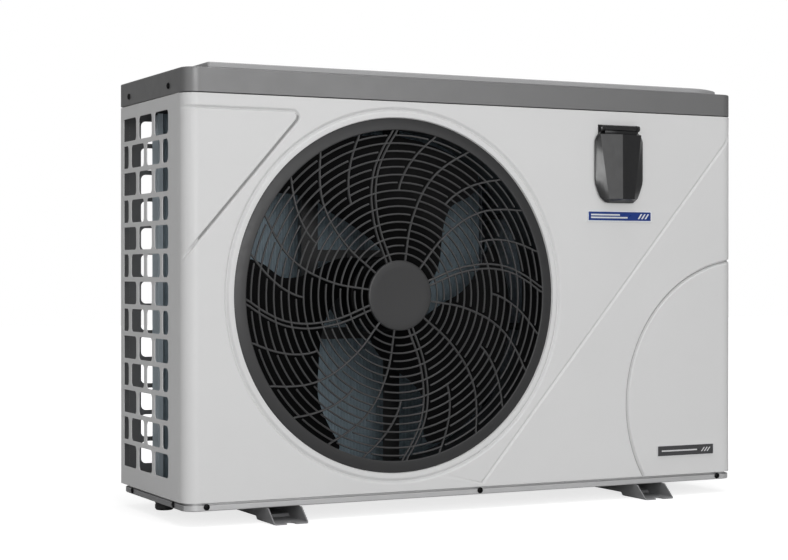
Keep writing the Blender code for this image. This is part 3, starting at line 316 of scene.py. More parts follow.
def display_material():
    """Smoked glass over the display, with a hint of smears."""
    m = Mat("display_glass", (0.008, 0.010, 0.013), 0.06)
    smear = m.noise(1.0, 4.0, 0.6, m.stretched((30.0, 30.0, 90.0)))
    m.base(m.tint(m.span(smear, 0.0, 1.0, 0.35, 0.7), (0.006, 0.008, 0.011), (0.012, 0.015, 0.019)))
    m.rough(m.span(smear, 0.04, 0.14, 0.35, 0.7))
    m.bsdf.inputs["Coat Weight"].default_value = 1.0
    m.bsdf.inputs["Coat Roughness"].default_value = 0.03
    return m.mat


M["display"] = display_material()


def gloss_black():
    """Polished black moulding of the controller flap: fine hairlines, soft haze."""
    m = Mat("flap_gloss_plastic", (0.010, 0.010, 0.011), 0.20, 0.0, 0.72)
    hair = m.noise(1.0, 4.0, 0.6, m.stretched((200.0, 200.0, 40.0)))
    m.base(m.tint(m.span(hair, 0.0, 1.0, 0.3, 0.7), (0.0085, 0.0085, 0.0095), (0.0125, 0.0125, 0.0135)))
    m.rough(m.span(m.noise(70.0, 4.0), 0.17, 0.25, 0.3, 0.7))
    m.bump(m.noise(500.0, 2.0), 0.015, 0.00002)
    return m.mat


M["flap"] = gloss_black()


def badge_material(name, colour, rough=0.32):
    m = Mat(name, colour, rough)
    m.vary(0.05, 60.0, 0.05, 1500.0)
    m.rough(m.span(m.noise(200.0), rough - 0.05, rough + 0.08, 0.3, 0.7))
    m.bump(m.noise(1200.0), 0.06, 0.00003)
    return m.mat


M["badge_blue"] = badge_material("badge_blue_enamel", (0.002, 0.033, 0.215))
M["badge_dark"] = badge_material("badge_dark_enamel", (0.055, 0.055, 0.058))
M["badge_rim"] = badge_material("badge_light_rim", (0.80, 0.82, 0.86))
M["badge_rim_grey"] = badge_material("badge_grey_rim", (0.72, 0.72, 0.73))
M["button"] = moulded("button_silicone", (0.26, 0.27, 0.28), 0.5, 2000.0, 0.1)
M["mark"] = moulded("button_mark_print", (0.72, 0.74, 0.76), 0.5)
M["lcd"] = badge_material("display_film", (0.05, 0.065, 0.07), 0.2)


# --------------------------------------------------------------- mesh helpers
def obj_from(name, verts, faces, mats, body="casing", rep=(), slot=None, sharp=50.0, weighted=True,
             material_of=None, flat=False):
    """A piece from casing-millimetre vertices, riding on a body."""
    mesh = bpy.data.meshes.new(name)
    mesh.from_pydata([W(*v) for v in verts], [], faces)
    if not isinstance(mats, (list, tuple)):
        mats = [mats]
    for mt in mats:
        mesh.materials.append(mt)
    if material_of:
        mesh.polygons.foreach_set("material_index", material_of)
    bm = bmesh.new()
    bm.from_mesh(mesh)
    bmesh.ops.remove_doubles(bm, verts=bm.verts, dist=2e-7)
    bmesh.ops.recalc_face_normals(bm, faces=bm.faces)
    bm.to_mesh(mesh)
    bm.free()
    obj = bpy.data.objects.new(name, mesh)
    bpy.context.scene.collection.objects.link(obj)
    if flat:
        mesh.shade_flat()
    else:
        mesh.shade_smooth()
        mesh.set_sharp_from_angle(angle=math.radians(sharp))
    if weighted:
        add_weighted(obj)
    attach(obj, body)
    if rep:
        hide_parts(*([rep] if isinstance(rep, str) else rep))
    return obj


def add_weighted(obj):
    mod = obj.modifiers.new("weighted_normals", "WEIGHTED_NORMAL")
    mod.keep_sharp = True
    mod.mode = "FACE_AREA"
    mod.weight = 50
    return mod


class Build:
    """Gathers vertices and faces of several closed shells for one piece."""

    def __init__(self):
        self.v, self.f, self.m = [], [], []

    def add(self, verts, faces, mat=0):
        base = len(self.v)
        self.v += [tuple(v) for v in verts]
        self.f += [tuple(i + base for i in f) for f in faces]
        self.m += mat if isinstance(mat, list) else [mat] * len(faces)

    def piece(self, name, mats, **kw):
        mats = mats if isinstance(mats, (list, tuple)) else [mats]
        return obj_from(name, self.v, self.f, mats, material_of=self.m if len(mats) > 1 else None, **kw)


def arc(cu, cv, r, a0, a1, n):
    return [(cu + r * math.cos(math.radians(a0 + (a1 - a0) * i / n)),
             cv + r * math.sin(math.radians(a0 + (a1 - a0) * i / n))) for i in range(n + 1)]


def circle(cu, cv, r, n, start=0.0):
    return [(cu + r * math.cos(math.radians(start + 360.0 * i / n)),
             cv + r * math.sin(math.radians(start + 360.0 * i / n))) for i in range(n)]


def rrect(u0, u1, v0, v1, r, n=5):
    """Rounded rectangle, counter-clockwise. r may be one radius or four: low
    left, low right, high right, high left."""
    rs = r if isinstance(r, (list, tuple)) else (r, r, r, r)
    out = []
    for (cx, cy, a), q in zip(((u0, v0, 180), (u1, v0, 270), (u1, v1, 0), (u0, v1, 90)), rs):
        sx = 1 if cx == u0 else -1
        sy = 1 if cy == v0 else -1
        if q <= 0:
            out.append((cx, cy))
        else:
            out += arc(cx + sx * q, cy + sy * q, q, a, a + 90, n)
    return out


def area2(loop):
    return sum(a[0] * b[1] - b[0] * a[1] for a, b in zip(loop, loop[1:] + loop[:1]))


def ccw(loop):
    return loop if area2(loop) > 0 else loop[::-1]


def shift(path, t, closed=True):
    """The path moved to its left by t, with mitred corners."""
    n = len(path)
    out = []
    for i in range(n):
        normals = []
        for a, b in (((i - 1) % n, i), (i, (i + 1) % n)):
            if not closed and (b < a or (a == i and i == n - 1)):
                continue
            dx, dy = path[b][0] - path[a][0], path[b][1] - path[a][1]
            length = math.hypot(dx, dy)
            if length < 1e-9:
                continue
            normals.append((-dy / length, dx / length))
        nx = sum(v[0] for v in normals) / len(normals)
        ny = sum(v[1] for v in normals) / len(normals)
        s = t / max(nx * nx + ny * ny, 0.2)
        out.append((path[i][0] + nx * s, path[i][1] + ny * s))
    return out


def fillet(points, r, n=4, closed=True):
    """Corners of a polyline rounded; r may be one radius or one for each."""
    m = len(points)
    out = []
    for i in range(m):
        rr = r[i] if isinstance(r, (list, tuple)) else r
        if (not closed and i in (0, m - 1)) or rr <= 0:
            out.append(tuple(points[i]))
            continue
        p = Vector(points[i])
        a, b = Vector(points[i - 1]) - p, Vector(points[(i + 1) % m]) - p
        la, lb = a.length, b.length
        a.normalize()
        b.normalize()
        ang = a.angle(b)
        if ang > math.radians(178):
            out.append(tuple(points[i]))
            continue
        cut = min(rr / math.tan(ang / 2), 0.49 * la, 0.49 * lb)
        q = cut * math.tan(ang / 2)
        centre = p + (a + b).normalized() * (q / math.sin(ang / 2))
        v0, v1 = (p + a * cut) - centre, (p + b * cut) - centre
        a0 = math.atan2(v0.y, v0.x)
        d = math.atan2(v1.y, v1.x) - a0
        d = (d + math.pi) % (2 * math.pi) - math.pi
        for k in range(n + 1):
            t = a0 + d * k / n
            out.append((centre.x + q * math.cos(t), centre.y + q * math.sin(t)))
    return out


def inside(p, loop):
    c = False
    x, y = p
    j = len(loop) - 1
    for i in range(len(loop)):
        xi, yi = loop[i]
        xj, yj = loop[j]
        if (yi > y) != (yj > y) and x < (xj - xi) * (y - yi) / (yj - yi) + xi:
            c = not c
        j = i
    return c


def flat_mesh(outer, holes=(), lines=()):
    """Triangles of an outline with holes and extra lines: points, triangles."""
    pts, edges = [], []

    def add(loop, closed):
        b = len(pts)
        pts.extend(Vector(p) for p in loop)
        m = len(loop)
        edges.extend((b + i, b + (i + 1) % m) for i in range(m if closed else m - 1))

    add(outer, True)
    for h in holes:
        add(h, True)
    for ln in lines:
        add(ln, False)
    verts, _, faces, _, _, _ = delaunay_2d_cdt(pts, edges, [], 0, 1e-4, True)
    boxes = [(min(p[0] for p in h), max(p[0] for p in h), min(p[1] for p in h), max(p[1] for p in h), h) for h in holes]
    keep = []
    for f in faces:
        cx = sum(verts[i].x for i in f) / len(f)
        cy = sum(verts[i].y for i in f) / len(f)
        if not inside((cx, cy), outer):
            continue
        if any(x0 < cx < x1 and y0 < cy < y1 and inside((cx, cy), h) for x0, x1, y0, y1, h in boxes):
            continue
        a, b, c = (verts[i] for i in f[:3])
        if (b - a).cross(c - a) < 0:
            f = f[::-1]
        keep.append(tuple(f))
    used = sorted(set(i for f in keep for i in f))
    index = {v: k for k, v in enumerate(used)}
    return [tuple(verts[i]) for i in used], [tuple(index[i] for i in f) for f in keep]


def boundary(faces):
    """Directed boundary loops of a counter-clockwise triangulation."""
    half = set()
    for f in faces:
        for a, b in zip(f, f[1:] + f[:1]):
            half.add((a, b))
    nxt = {a: b for a, b in half if (b, a) not in half}
    loops = []
    while nxt:
        start = next(iter(nxt))
        loop, v = [], start
        while v in nxt:
            loop.append(v)
            v = nxt.pop(v)
        loops.append(loop)
    return loops


def sheet(P, outer, holes=(), lines=(), t=1.2, b=0.4, n=3, height=None, back_b=None):
    """A closed sheet over a flat domain: P(u, v, h) places a point at height h
    in front of the sheet's face. Its front edges are rounded by b, its back
    edges by back_b. The outline and holes are the true edges."""
    height = height or (lambda u, v: 0.0)
    outer = shift(ccw(list(outer)), b)
    holes = [shift(ccw(list(h))[::-1], b)[::-1] for h in holes]
    pts, tris = flat_mesh(outer, holes, lines)
    loops = boundary(tris)
    verts = [P(u, v, height(u, v)) for u, v in pts]
    faces = [tuple(f) for f in tris]
    m = len(pts)
    move = {}
    for loop in loops:
        path = [pts[i] for i in loop]
        moved = shift(path, -b)            # away from the material
        for i, q in zip(loop, moved):
            move[i] = (q[0] - pts[i][0], q[1] - pts[i][1])
    bb = b if back_b is None else back_b
    levels = []
    for k in range(1, n + 1):
        a = math.pi / 2 * k / n
        levels.append((math.sin(a), -b * (1 - math.cos(a))))
    if bb > 0:
        for k in range(0, n):
            a = math.pi / 2 * k / n
            levels.append((1.0 - (bb / b) * (1 - math.cos(a)), -(t - bb) - bb * math.sin(a)))
        back_out = 1.0 - bb / b
    else:
        back_out = 1.0
    back = len(verts)
    for i, (u, v) in enumerate(pts):
        du, dv = move.get(i, (0.0, 0.0))
        verts.append(P(u + du * back_out, v + dv * back_out, height(u, v) - t))
    faces += [tuple(i + back for i in f[::-1]) for f in tris]
    sheet.count = len(tris)
    for loop in loops:
        prev = list(loop)
        for out_k, dh in levels:
            ring = []
            for i in loop:
                du, dv = move[i]
                u, v = pts[i]
                ring.append(len(verts))
                verts.append(P(u + du * out_k, v + dv * out_k, height(u, v) + dh))
            for j in range(len(loop)):
                k = (j + 1) % len(loop)
                faces.append((prev[k], prev[j], ring[j], ring[k]))
            prev = ring
        ring = [i + back for i in loop]
        for j in range(len(loop)):
            k = (j + 1) % len(loop)
            faces.append((prev[k], prev[j], ring[j], ring[k]))
    return verts, faces


def two_sided(faces):
    """Material numbers of the last sheet: its back is number 1."""
    n = sheet.count
    return [0] * n + [1] * n + [0] * (len(faces) - 2 * n)


def subdivided(path, step):
    out = [path[0]]
    for a, b in zip(path, path[1:]):
        n = max(1, int(math.hypot(b[0] - a[0], b[1] - a[1]) / step))
        out += [(a[0] + (b[0] - a[0]) * k / n, a[1] + (b[1] - a[1]) * k / n) for k in range(1, n + 1)]
    return out


def on_front(y=0.0):
    """A flat front-facing domain: u is x, v is z, height is towards -y."""
    return lambda u, v, h: (u, y - h, v)


def on_back(y):
    return lambda u, v, h: (u, y + h, v)


def on_top(z):
    return lambda u, v, h: (u, v, z + h)


def on_right(x):
    return lambda u, v, h: (x + h, u, v)


def on_left(x):
    return lambda u, v, h: (x - h, u, v)


AXES = {"x": (Vector((0, 1, 0)), Vector((0, 0, 1)), Vector((1, 0, 0))),
        "y": (Vector((1, 0, 0)), Vector((0, 0, 1)), Vector((0, 1, 0))),
        "z": (Vector((1, 0, 0)), Vector((0, 1, 0)), Vector((0, 0, 1)))}


def turn(centre, axis, profile, seg=64, radius_of=None):
    """Vertices and faces of a profile of (radius, height) turned about an
    axis. radius_of(r, h, angle) may ripple it."""
    c = Vector(centre)
    e1, e2, e3 = AXES[axis]
    rows, verts = [], []
    for r, h in profile:
        if abs(r) < 1e-6:
            rows.append([len(verts)] * seg)
            verts.append(tuple(c + e3 * h))
            continue
        row = []
        for i in range(seg):
            a = 2 * math.pi * i / seg
            q = radius_of(r, h, a) if radius_of else r
            row.append(len(verts))
            verts.append(tuple(c + e1 * (q * math.cos(a)) + e2 * (q * math.sin(a)) + e3 * h))
        rows.append(row)
    closed = abs(profile[0][0]) > 1e-6 or abs(profile[-1][0]) > 1e-6
    faces = []
    for k in range(len(rows) if closed else len(rows) - 1):
        lo, hi = rows[k], rows[(k + 1) % len(rows)]
        for i in range(seg):
            j = (i + 1) % seg
            f = []
            for v in (lo[i], lo[j], hi[j], hi[i]):
                if v not in f:
                    f.append(v)
            if len(f) > 2:
                faces.append(tuple(f))
    return verts, faces


def rod(points, r, sides=8, closed=False, squash=1.0, flat_dir=None):
    """A round bar along points. squash scales it along flat_dir."""
    pts = [Vector(p) for p in points]
    n = len(pts)
    tan = []
    for i in range(n):
        a = pts[(i - 1) % n] if (closed or i > 0) else pts[i]
        b = pts[(i + 1) % n] if (closed or i < n - 1) else pts[i]
        tan.append((b - a).normalized())
    side = (flat_dir.copy() if flat_dir else tan[0].orthogonal()).normalized()
    verts, faces = [], []
    for i in range(n):
        side = (side - tan[i] * side.dot(tan[i])).normalized()
        other = tan[i].cross(side)
        for k in range(sides):
            a = 2 * math.pi * (k + 0.5) / sides
            verts.append(tuple(pts[i] + side * (r * squash * math.cos(a)) + other * (r * math.sin(a))))
    for i in range(n if closed else n - 1):
        p, q = i * sides, ((i + 1) % n) * sides
        for k in range(sides):
            j = (k + 1) % sides
            faces.append((p + k, p + j, q + j, q + k))
    if not closed:
        for end, tdir in ((0, -1), (n - 1, 1)):
            c = len(verts)
            verts.append(tuple(pts[end] + tan[end] * (tdir * r * 0.35)))
            for k in range(sides):
                faces.append((end * sides + k, end * sides + (k + 1) % sides, c))
    return verts, faces


def box_shell(x, y, z, b=0.4, n=2):
    """A box with rounded edges, as a sheet on top."""
    return sheet(on_top(z[1]), rrect(x[0], x[1], y[0], y[1], min(b * 2, (x[1] - x[0]) / 2.2, (y[1] - y[0]) / 2.2), 3), t=z[1] - z[0],
                 b=b, n=n)


# ---------------------------------------------------------------- front panel
RETURN = 27.0 - CORNER_R                    # flat part of the side return
BEND = math.pi / 2 * CORNER_R
S_FLAT = RETURN + BEND                      # where the flat front starts
S_END = 2 * S_FLAT + (CASE_W - 2 * CORNER_R)
FLAT_LEN = CASE_W - 2 * CORNER_R


def front_at(s, z, h):
    """A point of the front panel at developed width s, proud of it by h."""
    if s <= RETURN:
        return (-h, 27.0 - s, z)
    if s < S_FLAT:
        a = (s - RETURN) / CORNER_R
        return (CORNER_R - (CORNER_R + h) * math.cos(a), CORNER_R - (CORNER_R + h) * math.sin(a), z)
    if s <= S_FLAT + FLAT_LEN:
        return (s - S_FLAT + CORNER_R, -h, z)
    if s < S_FLAT + FLAT_LEN + BEND:
        a = (s - S_FLAT - FLAT_LEN) / CORNER_R
        return (CASE_W - CORNER_R + (CORNER_R + h) * math.sin(a), CORNER_R - (CORNER_R + h) * math.cos(a), z)
    return (CASE_W + h, CORNER_R + (s - S_FLAT - FLAT_LEN - BEND), z)


def s_of(x):
    return x - CORNER_R + S_FLAT


def clamp(v, a=0.0, b=1.0):
    return max(a, min(b, v))


def ease(t):
    t = clamp(t)
    return t * t * (3 - 2 * t)


FAN_S = s_of(FAN_X)
RING_LINE_R = 277.0
ARC_C = (s_of(975.0), 118.0)
ARC_R = 230.0
ARC_W = 3.4
# upper left field: a level edge, a rounded corner and a sloping edge
FIELD = subdivided(fillet([(-4.0, 562.3), (s_of(184.5), 562.3), (s_of(-16.0), 333.0)], 8.5, 8, closed=False), 10.0)
# long crease from the right edge down to the bottom
CREASE = [(s_of(475.0 - 40.0), -46.6), (S_END + 6.0, (S_END + 6.0 - s_of(475.0)) * 1.1663)]


def seg_distance(p, a, b):
    ax, ay = a
    dx, dy = b[0] - ax, b[1] - ay
    t = clamp(((p[0] - ax) * dx + (p[1] - ay) * dy) / (dx * dx + dy * dy))
    qx, qy = ax + dx * t - p[0], ay + dy * t - p[1]
    side = dx * (p[1] - ay) - dy * (p[0] - ax)
    return math.hypot(qx, qy), side


def path_distance(p, path):
    """Distance to a polyline, positive on its left."""
    best, sign = 1e9, 1.0
    for a, b in zip(path, path[1:]):
        d, side = seg_distance(p, a, b)
        if d < best - 1e-9:
            best, sign = d, side
    return math.copysign(best, sign)


def groove(d, width, depth):
    """A rounded valley of half width width."""
    if abs(d) >= width:
        return 0.0
    return -depth * 0.5 * (1 + math.cos(math.pi * d / width))


STEP_W = 5.2
STEP_H = 0.6
LINE_W = 3.2


def panel_height(s, z):
    h = 0.0
    r = math.hypot(s - FAN_S, z - FAN_Z)
    if abs(r - RING_LINE_R) < 4.2:
        h += groove(r - RING_LINE_R, 4.1, 3.8)
    edge_l = ease((s - RETURN) / (BEND * 0.8))
    edge_r = ease((S_END - RETURN - s) / (BEND * 0.5))
    ra = math.hypot(s - ARC_C[0], z - ARC_C[1])
    if abs(ra - ARC_R) < 3.5:
        h += groove(ra - ARC_R, ARC_W, 5.0) * edge_r
    if s < s_of(200.0) and z > 320.0:
        d = path_distance((s, z), FIELD)      # the path runs right, then down: the field is on its right
        fade = edge_l * ease((z - 335.0) / 30.0)
        h -= STEP_H * ease(clamp(0.5 - d / STEP_W)) * fade
        h += groove(d, LINE_W, 5.6 - 2.2 * ease((z - 552.0) / 8.0)) * fade
    dc, side = seg_distance((s, z), *CREASE)
    if dc < 4.6:
        h += groove(math.copysign(dc, side), 3.0, 1.7) * edge_r
    return h


def front_panel():
    lines = []
    for c, r0, w, n in (((FAN_S, FAN_Z), RING_LINE_R, 4.1, 180), ((ARC_C[0], ARC_C[1]), ARC_R, ARC_W, 0)):
        for k in (-1.3, -1.0, -0.75, -0.5, -0.25, 0.0, 0.25, 0.5, 0.75, 1.0, 1.3):
            r = r0 + k * w
            if n:
                loop = circle(c[0], c[1], r, n)
                lines.append(loop + loop[:1])
            else:
                a0 = 180.0 + math.degrees(math.asin(clamp((c[1] + 6.0) / r, -1, 1)))
                lines.append(arc(c[0], c[1], r, 88.0, a0, 120))
    for k in (-1.3, -1.0, -0.75, -0.5, -0.25, 0.0, 0.25, 0.5, 0.75, 1.0, 1.3):
        lines.append(shift(FIELD, -k * LINE_W, closed=False))
    for k in (-1.35, -1.0, -0.5, 0.0, 0.5, 1.0, 1.35):
        dx, dz = CREASE[1][0] - CREASE[0][0], CREASE[1][1] - CREASE[0][1]
        length = math.hypot(dx, dz)
        off = (-dz / length * k * 3.0, dx / length * k * 3.0)
        pts = 60
        lines.append([(CREASE[0][0] + off[0] + dx * i / pts, CREASE[0][1] + off[1] + dz * i / pts) for i in range(pts + 1)])
    n = 14
    for k in range(n + 1):
        for s in (RETURN + BEND * k / n, S_FLAT + FLAT_LEN + BEND * k / n):
            lines.append([(s, 1.0), (s, 200.0), (s, 340.0), (s, 460.0), (s, PANEL_TOP - 1.0)])
    for s in (S_FLAT + 1.5, S_FLAT + FLAT_LEN - 1.5):
        lines.append([(s, 1.0), (s, PANEL_TOP - 1.0)])
    # everything stays inside the outline
    eps = 0.9
    clipped = []
    for ln in lines:
        cur = []
        for a, b in zip(ln, ln[1:] + ln[-1:]):
            if eps < a[0] < S_END - eps and eps < a[1] < PANEL_TOP - eps:
                cur.append(a)
            elif cur:
                clipped.append(cur)
                cur = []
        if cur:
            clipped.append(cur)
    clipped = [c for c in clipped if len(c) > 1]
    fan_hole = circle(FAN_S, FAN_Z, 265.8, 180)
    ring_lines = [circle(FAN_S, FAN_Z, 268.2, 180)]
    clipped += [ln + ln[:1] for ln in ring_lines]
    key_hole = rrect(s_of(692.6), s_of(760.4), 448.6, 541.4, 3.0, 3)
    b = Build()
    v, f = sheet(front_at, rrect(0.0, S_END, 0.0, PANEL_TOP, 0.9, 2), [fan_hole, key_hole], clipped, t=1.2, b=0.45, n=3,
                 height=panel_height, back_b=0.0)
    # the bottoms of the sharp moulded lines get a darker grey: painted shade in the grooves
    slots = two_sided(f)
    for i in range(sheet.count):
        mid = [sum(v[j][c] for j in f[i]) / len(f[i]) for c in (0, 2)]
        if not CORNER_R < mid[0] < CASE_W - 4.0:
            continue
        p = (s_of(mid[0]), mid[1])
        if abs(math.hypot(p[0] - ARC_C[0], p[1] - ARC_C[1]) - ARC_R) < 0.85:
            slots[i] = 2
        elif mid[0] < 200.0 and 336.0 < mid[1] < 556.0 and abs(path_distance(p, FIELD)) < 1.6:
            slots[i] = 2
    b.add(v, f, slots)
    b.piece("front_panel_skin", [M["casing"], M["inner"], M["casing_line"]], rep="front_panel", slot="casing_grey", sharp=55.0)
    # the sunken ledge the grille sits in
    prof = [(266.2, 1.0), (265.6, 2.2), (265.2, 3.3), (264.4, 3.9), (252.6, 3.9), (252.0, 4.3), (252.0, 5.1), (266.9, 5.1),
            (267.3, 4.6), (267.3, 1.3)]
    b = Build()
    b.add(*turn((FAN_X, 0.0, FAN_Z), "y", prof, 160))
    b.piece("front_panel_ledge", M["casing"], slot="casing_grey", sharp=40.0)


front_panel()


# ---------------------------------------------------------------- side panels
def side_cells():
    cells = []
    for row in range(13):
        z1 = 563.5 - 41.6 * row
        z0 = z1 - 34.5
        if row % 2 == 0:
            spans = [(70.5, 130.5, 0), (143.0, 203.0, 0), (215.5, 275.5, 1)]
        else:
            spans = [(70.5, 96.0, 2), (106.75, 166.75, 0), (179.25, 239.25, 0), (251.5, 275.5, 3)]
        for a, b, kind in spans:
            # the rear columns are square at the back, the front halves are round in front
            r = {0: 6.5, 1: (6.5, 1.2, 1.2, 6.5), 2: (8.5, 6.0, 6.0, 8.5), 3: (6.5, 1.2, 1.2, 6.5)}[kind]
            cells.append((a, b, z0, z1, r))
    return cells


def bent_side(sign):
    """Developed side sheet: u runs from the seam to the rear bend and round
    on to the rear return. sign -1 is the left side, 1 the right."""
    flat = CASE_D - REAR_R - 27.4
    bend = math.pi / 2 * REAR_R
    length = flat + bend + 14.0 - REAR_R

    def at(u, z, h):
        if u <= flat:
            x, y = -h, 27.4 + u
        elif u < flat + bend:
            a = (u - flat) / REAR_R
            x, y = REAR_R - (REAR_R + h) * math.cos(a), CASE_D - REAR_R + (REAR_R + h) * math.sin(a)
        else:
            x, y = REAR_R + (u - flat - bend), CASE_D + h
        return (x, y, z) if sign < 0 else (CASE_W - x, y, z)

    lines = [[(flat + bend * k / 5.0, 1.0), (flat + bend * k / 5.0, PANEL_TOP - 1.0)] for k in range(6)]
    return at, length, lines


def side_panel(sign, name, rep, holes, mat):
    at, length, lines = bent_side(sign)
    v, f = sheet(at, rrect(0.0, length, 0.0, PANEL_TOP, 0.9, 2), holes, lines, t=1.2, b=0.42, n=3, back_b=0.0)
    b = Build()
    b.add(v, f, two_sided(f))
    b.piece(name, [mat, M["inner"]], rep=rep, slot="casing_grey", sharp=55.0)


side_panel(-1, "left_side_skin", "left_side_panel",
           [rrect(a - 27.4, b - 27.4, z0, z1, r, 5) for a, b, z0, z1, r in side_cells()], M["casing"])
U_LO, U_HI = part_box("water_inlet_tailpiece")
WATER_Y = ((U_LO.y + U_HI.y) / 2 - Y0) / MM
Z_IN = ((U_LO.z + U_HI.z) / 2 - Z0) / MM
_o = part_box("water_outlet_tailpiece")
Z_OUT = ((_o[0].z + _o[1].z) / 2 - Z0) / MM
UNION_END = (U_HI.x - X0) / MM
side_panel(1, "right_side_skin", "right_side_panel",
           [circle(WATER_Y - 27.4, Z_IN, 36.5, 64), circle(WATER_Y - 27.4, Z_OUT, 36.5, 64), circle(120.0 - 27.4, 470.0, 8.6, 32)],
           M["casing"])


def rear_panel():
    holes = []
    for row in range(13):
        z1 = 563.5 - 41.6 * row
        z0 = z1 - 34.5
        if row % 2 == 0:
            spans = [(33.0 + 72.5 * k, 93.0 + 72.5 * k) for k in range(8)]
        else:
            spans = [(33.0, 56.75)] + [(69.25 + 72.5 * k, 129.25 + 72.5 * k) for k in range(7)] + [(576.75, 600.5)]
        holes += [rrect(a, b, z0, z1, 7.5 if b - a > 40 else 6.5, 5) for a, b in spans]
    v, f = sheet(on_back(CASE_D), rrect(14.04, CASE_W - 14.04, 0.0, PANEL_TOP, 0.9, 2), holes, (), t=1.2, b=0.42, n=3, back_b=0.0)
    b = Build()
    b.add(v, f, two_sided(f))
    b.piece("rear_panel_skin", [M["casing"], M["inner"]], rep="rear_panel", slot="casing_grey", sharp=55.0)


rear_panel()


# ------------------------------------------------------------- band and lid
def plan(x0, x1, y0, y1, front, rear, inset, n=14):
    x0, x1, y0, y1 = x0 + inset, x1 - inset, y0 + inset, y1 - inset
    f, r = max(front - inset, 0.5), max(rear - inset, 0.5)
    return (arc(x0 + f, y0 + f, f, 180, 270, n) + arc(x1 - f, y0 + f, f, 270, 360, n)
            + arc(x1 - r, y1 - r, r, 0, 90, 5) + arc(x0 + r, y1 - r, r, 90, 180, 5))


def stack(loops, closed=False, cap_ends=True):
    """Skin plan loops (points, z) of equal count."""
    n = len(loops[0][0])
    verts = [(x, y, z) for pts, z in loops for x, y in pts]
    faces = []
    m = len(loops)
    for k in range(m if closed else m - 1):
        a, b = k * n, ((k + 1) % m) * n
        for i in range(n):
            j = (i + 1) % n
            faces.append((a + i, a + j, b + j, b + i))
    if not closed and cap_ends:
        faces.append(tuple(range(n)))
        faces.append(tuple(range((m - 1) * n, m * n)))
    return verts, faces


def band():
    def at(inset, x0=0.0):
        return plan(x0, CASE_W, 0.0, CASE_D, CORNER_R, REAR_R, inset)

    top = BAND_Z1
    loops = [(at(1.6), BAND_Z0 + 0.2), (at(1.2), BAND_Z0), (at(0.7), BAND_Z0), (at(0.25), BAND_Z0 + 0.2), (at(0.0), BAND_Z0 + 0.7)]
    for k in range(0, 7):
        a = math.pi / 2 * k / 6
        loops.append((at(2.2 * (1 - math.cos(a))), top - 2.2 + 2.2 * math.sin(a)))
    loops.append((at(4.0), top))
    loops.append((plan(16.0, CASE_W, 0.0, CASE_D, CORNER_R, REAR_R, 30.0), top))
    loops.append((plan(16.0, CASE_W, 0.0, CASE_D, CORNER_R, REAR_R, 30.0), top - 1.4))
    loops.append((at(1.6), top - 2.2))
    b = Build()
    b.add(*stack(loops, closed=True))
    b.piece("top_band", M["band"], rep="top_trim", slot="band_grey", sharp=50.0)


band()


def lid():
    outline = fillet([(36.0, 3.5), (877.0, 3.5), (891.0, 5.5), (904.0, 10.0), (916.0, 16.5), (928.0, 24.0), (938.0, 31.5),
                      (944.0, 38.0), (946.0, 47.0), (946.0, 284.0), (36.0, 284.0)],
                     [5.0, 30.0, 30.0, 30.0, 30.0, 30.0, 20.0, 12.0, 12.0, 8.0, 5.0], 4)
    z0, z1 = BAND_Z1 + 0.3, LID_Z1
    loops = [(shift(outline, 1.2), z1 - 2.2), (shift(outline, 1.2), z0), (shift(outline, 0.5), z0), (shift(outline, 0.1), z0 + 0.3),
             (outline, z0 + 0.8)]
    for k in range(0, 6):
        a = math.pi / 2 * k / 5
        loops.append((shift(outline, 1.8 * (1 - math.cos(a)) + 1e-4), z1 - 1.8 + 1.8 * math.sin(a)))
    verts, faces = stack(loops, cap_ends=False)
    n = len(outline)
    faces.append(tuple(range(n)))
    # flat top with a shallow pressed field, so that the sheet stays stiff
    top = shift(outline, 1.8)
    rim = shift(outline, 3.2)
    base = len(loops) - 1
    field = rrect(84.0, 850.0, 36.0, 252.0, 18.0, 6)

    def top_h(u, v):
        d = path_distance_closed((u, v), field)
        return -1.3 * ease(clamp(0.5 + d / 9.0))

    pts, tris = flat_mesh(rim, (), [shift(field, k) + shift(field, k)[:1] for k in (-6.0, -4.5, -2.2, 0.0, 2.2, 4.5, 6.0)])
    b0 = len(verts)
    verts += [(u, v, z1 + top_h(u, v)) for u, v in pts]
    faces += [tuple(i + b0 for i in f) for f in tris]
    loop = boundary(tris)[0]
    # stitch the rim ring of the stack to the pressed top
    ring = [base * n + i for i in range(n)]
    start = min(range(len(loop)), key=lambda q: (pts[loop[q]][0] - rim[0][0]) ** 2 + (pts[loop[q]][1] - rim[0][1]) ** 2)
    loop = loop[start:] + loop[:start]
    if len(loop) == n:
        for i in range(n):
            j = (i + 1) % n
            faces.append((ring[i], ring[j], b0 + loop[j], b0 + loop[i]))
    b = Build()
    b.add(verts, faces)
    b.piece("lid_skin", M["lid"], rep="top_lid", slot="lid_grey", sharp=50.0)


def path_distance_closed(p, loop):
    """Distance to a closed loop, positive inside a counter-clockwise one."""
    best = min(seg_distance(p, a, b)[0] for a, b in zip(loop, loop[1:] + loop[:1]))
    return best if inside(p, loop) else -best


lid()


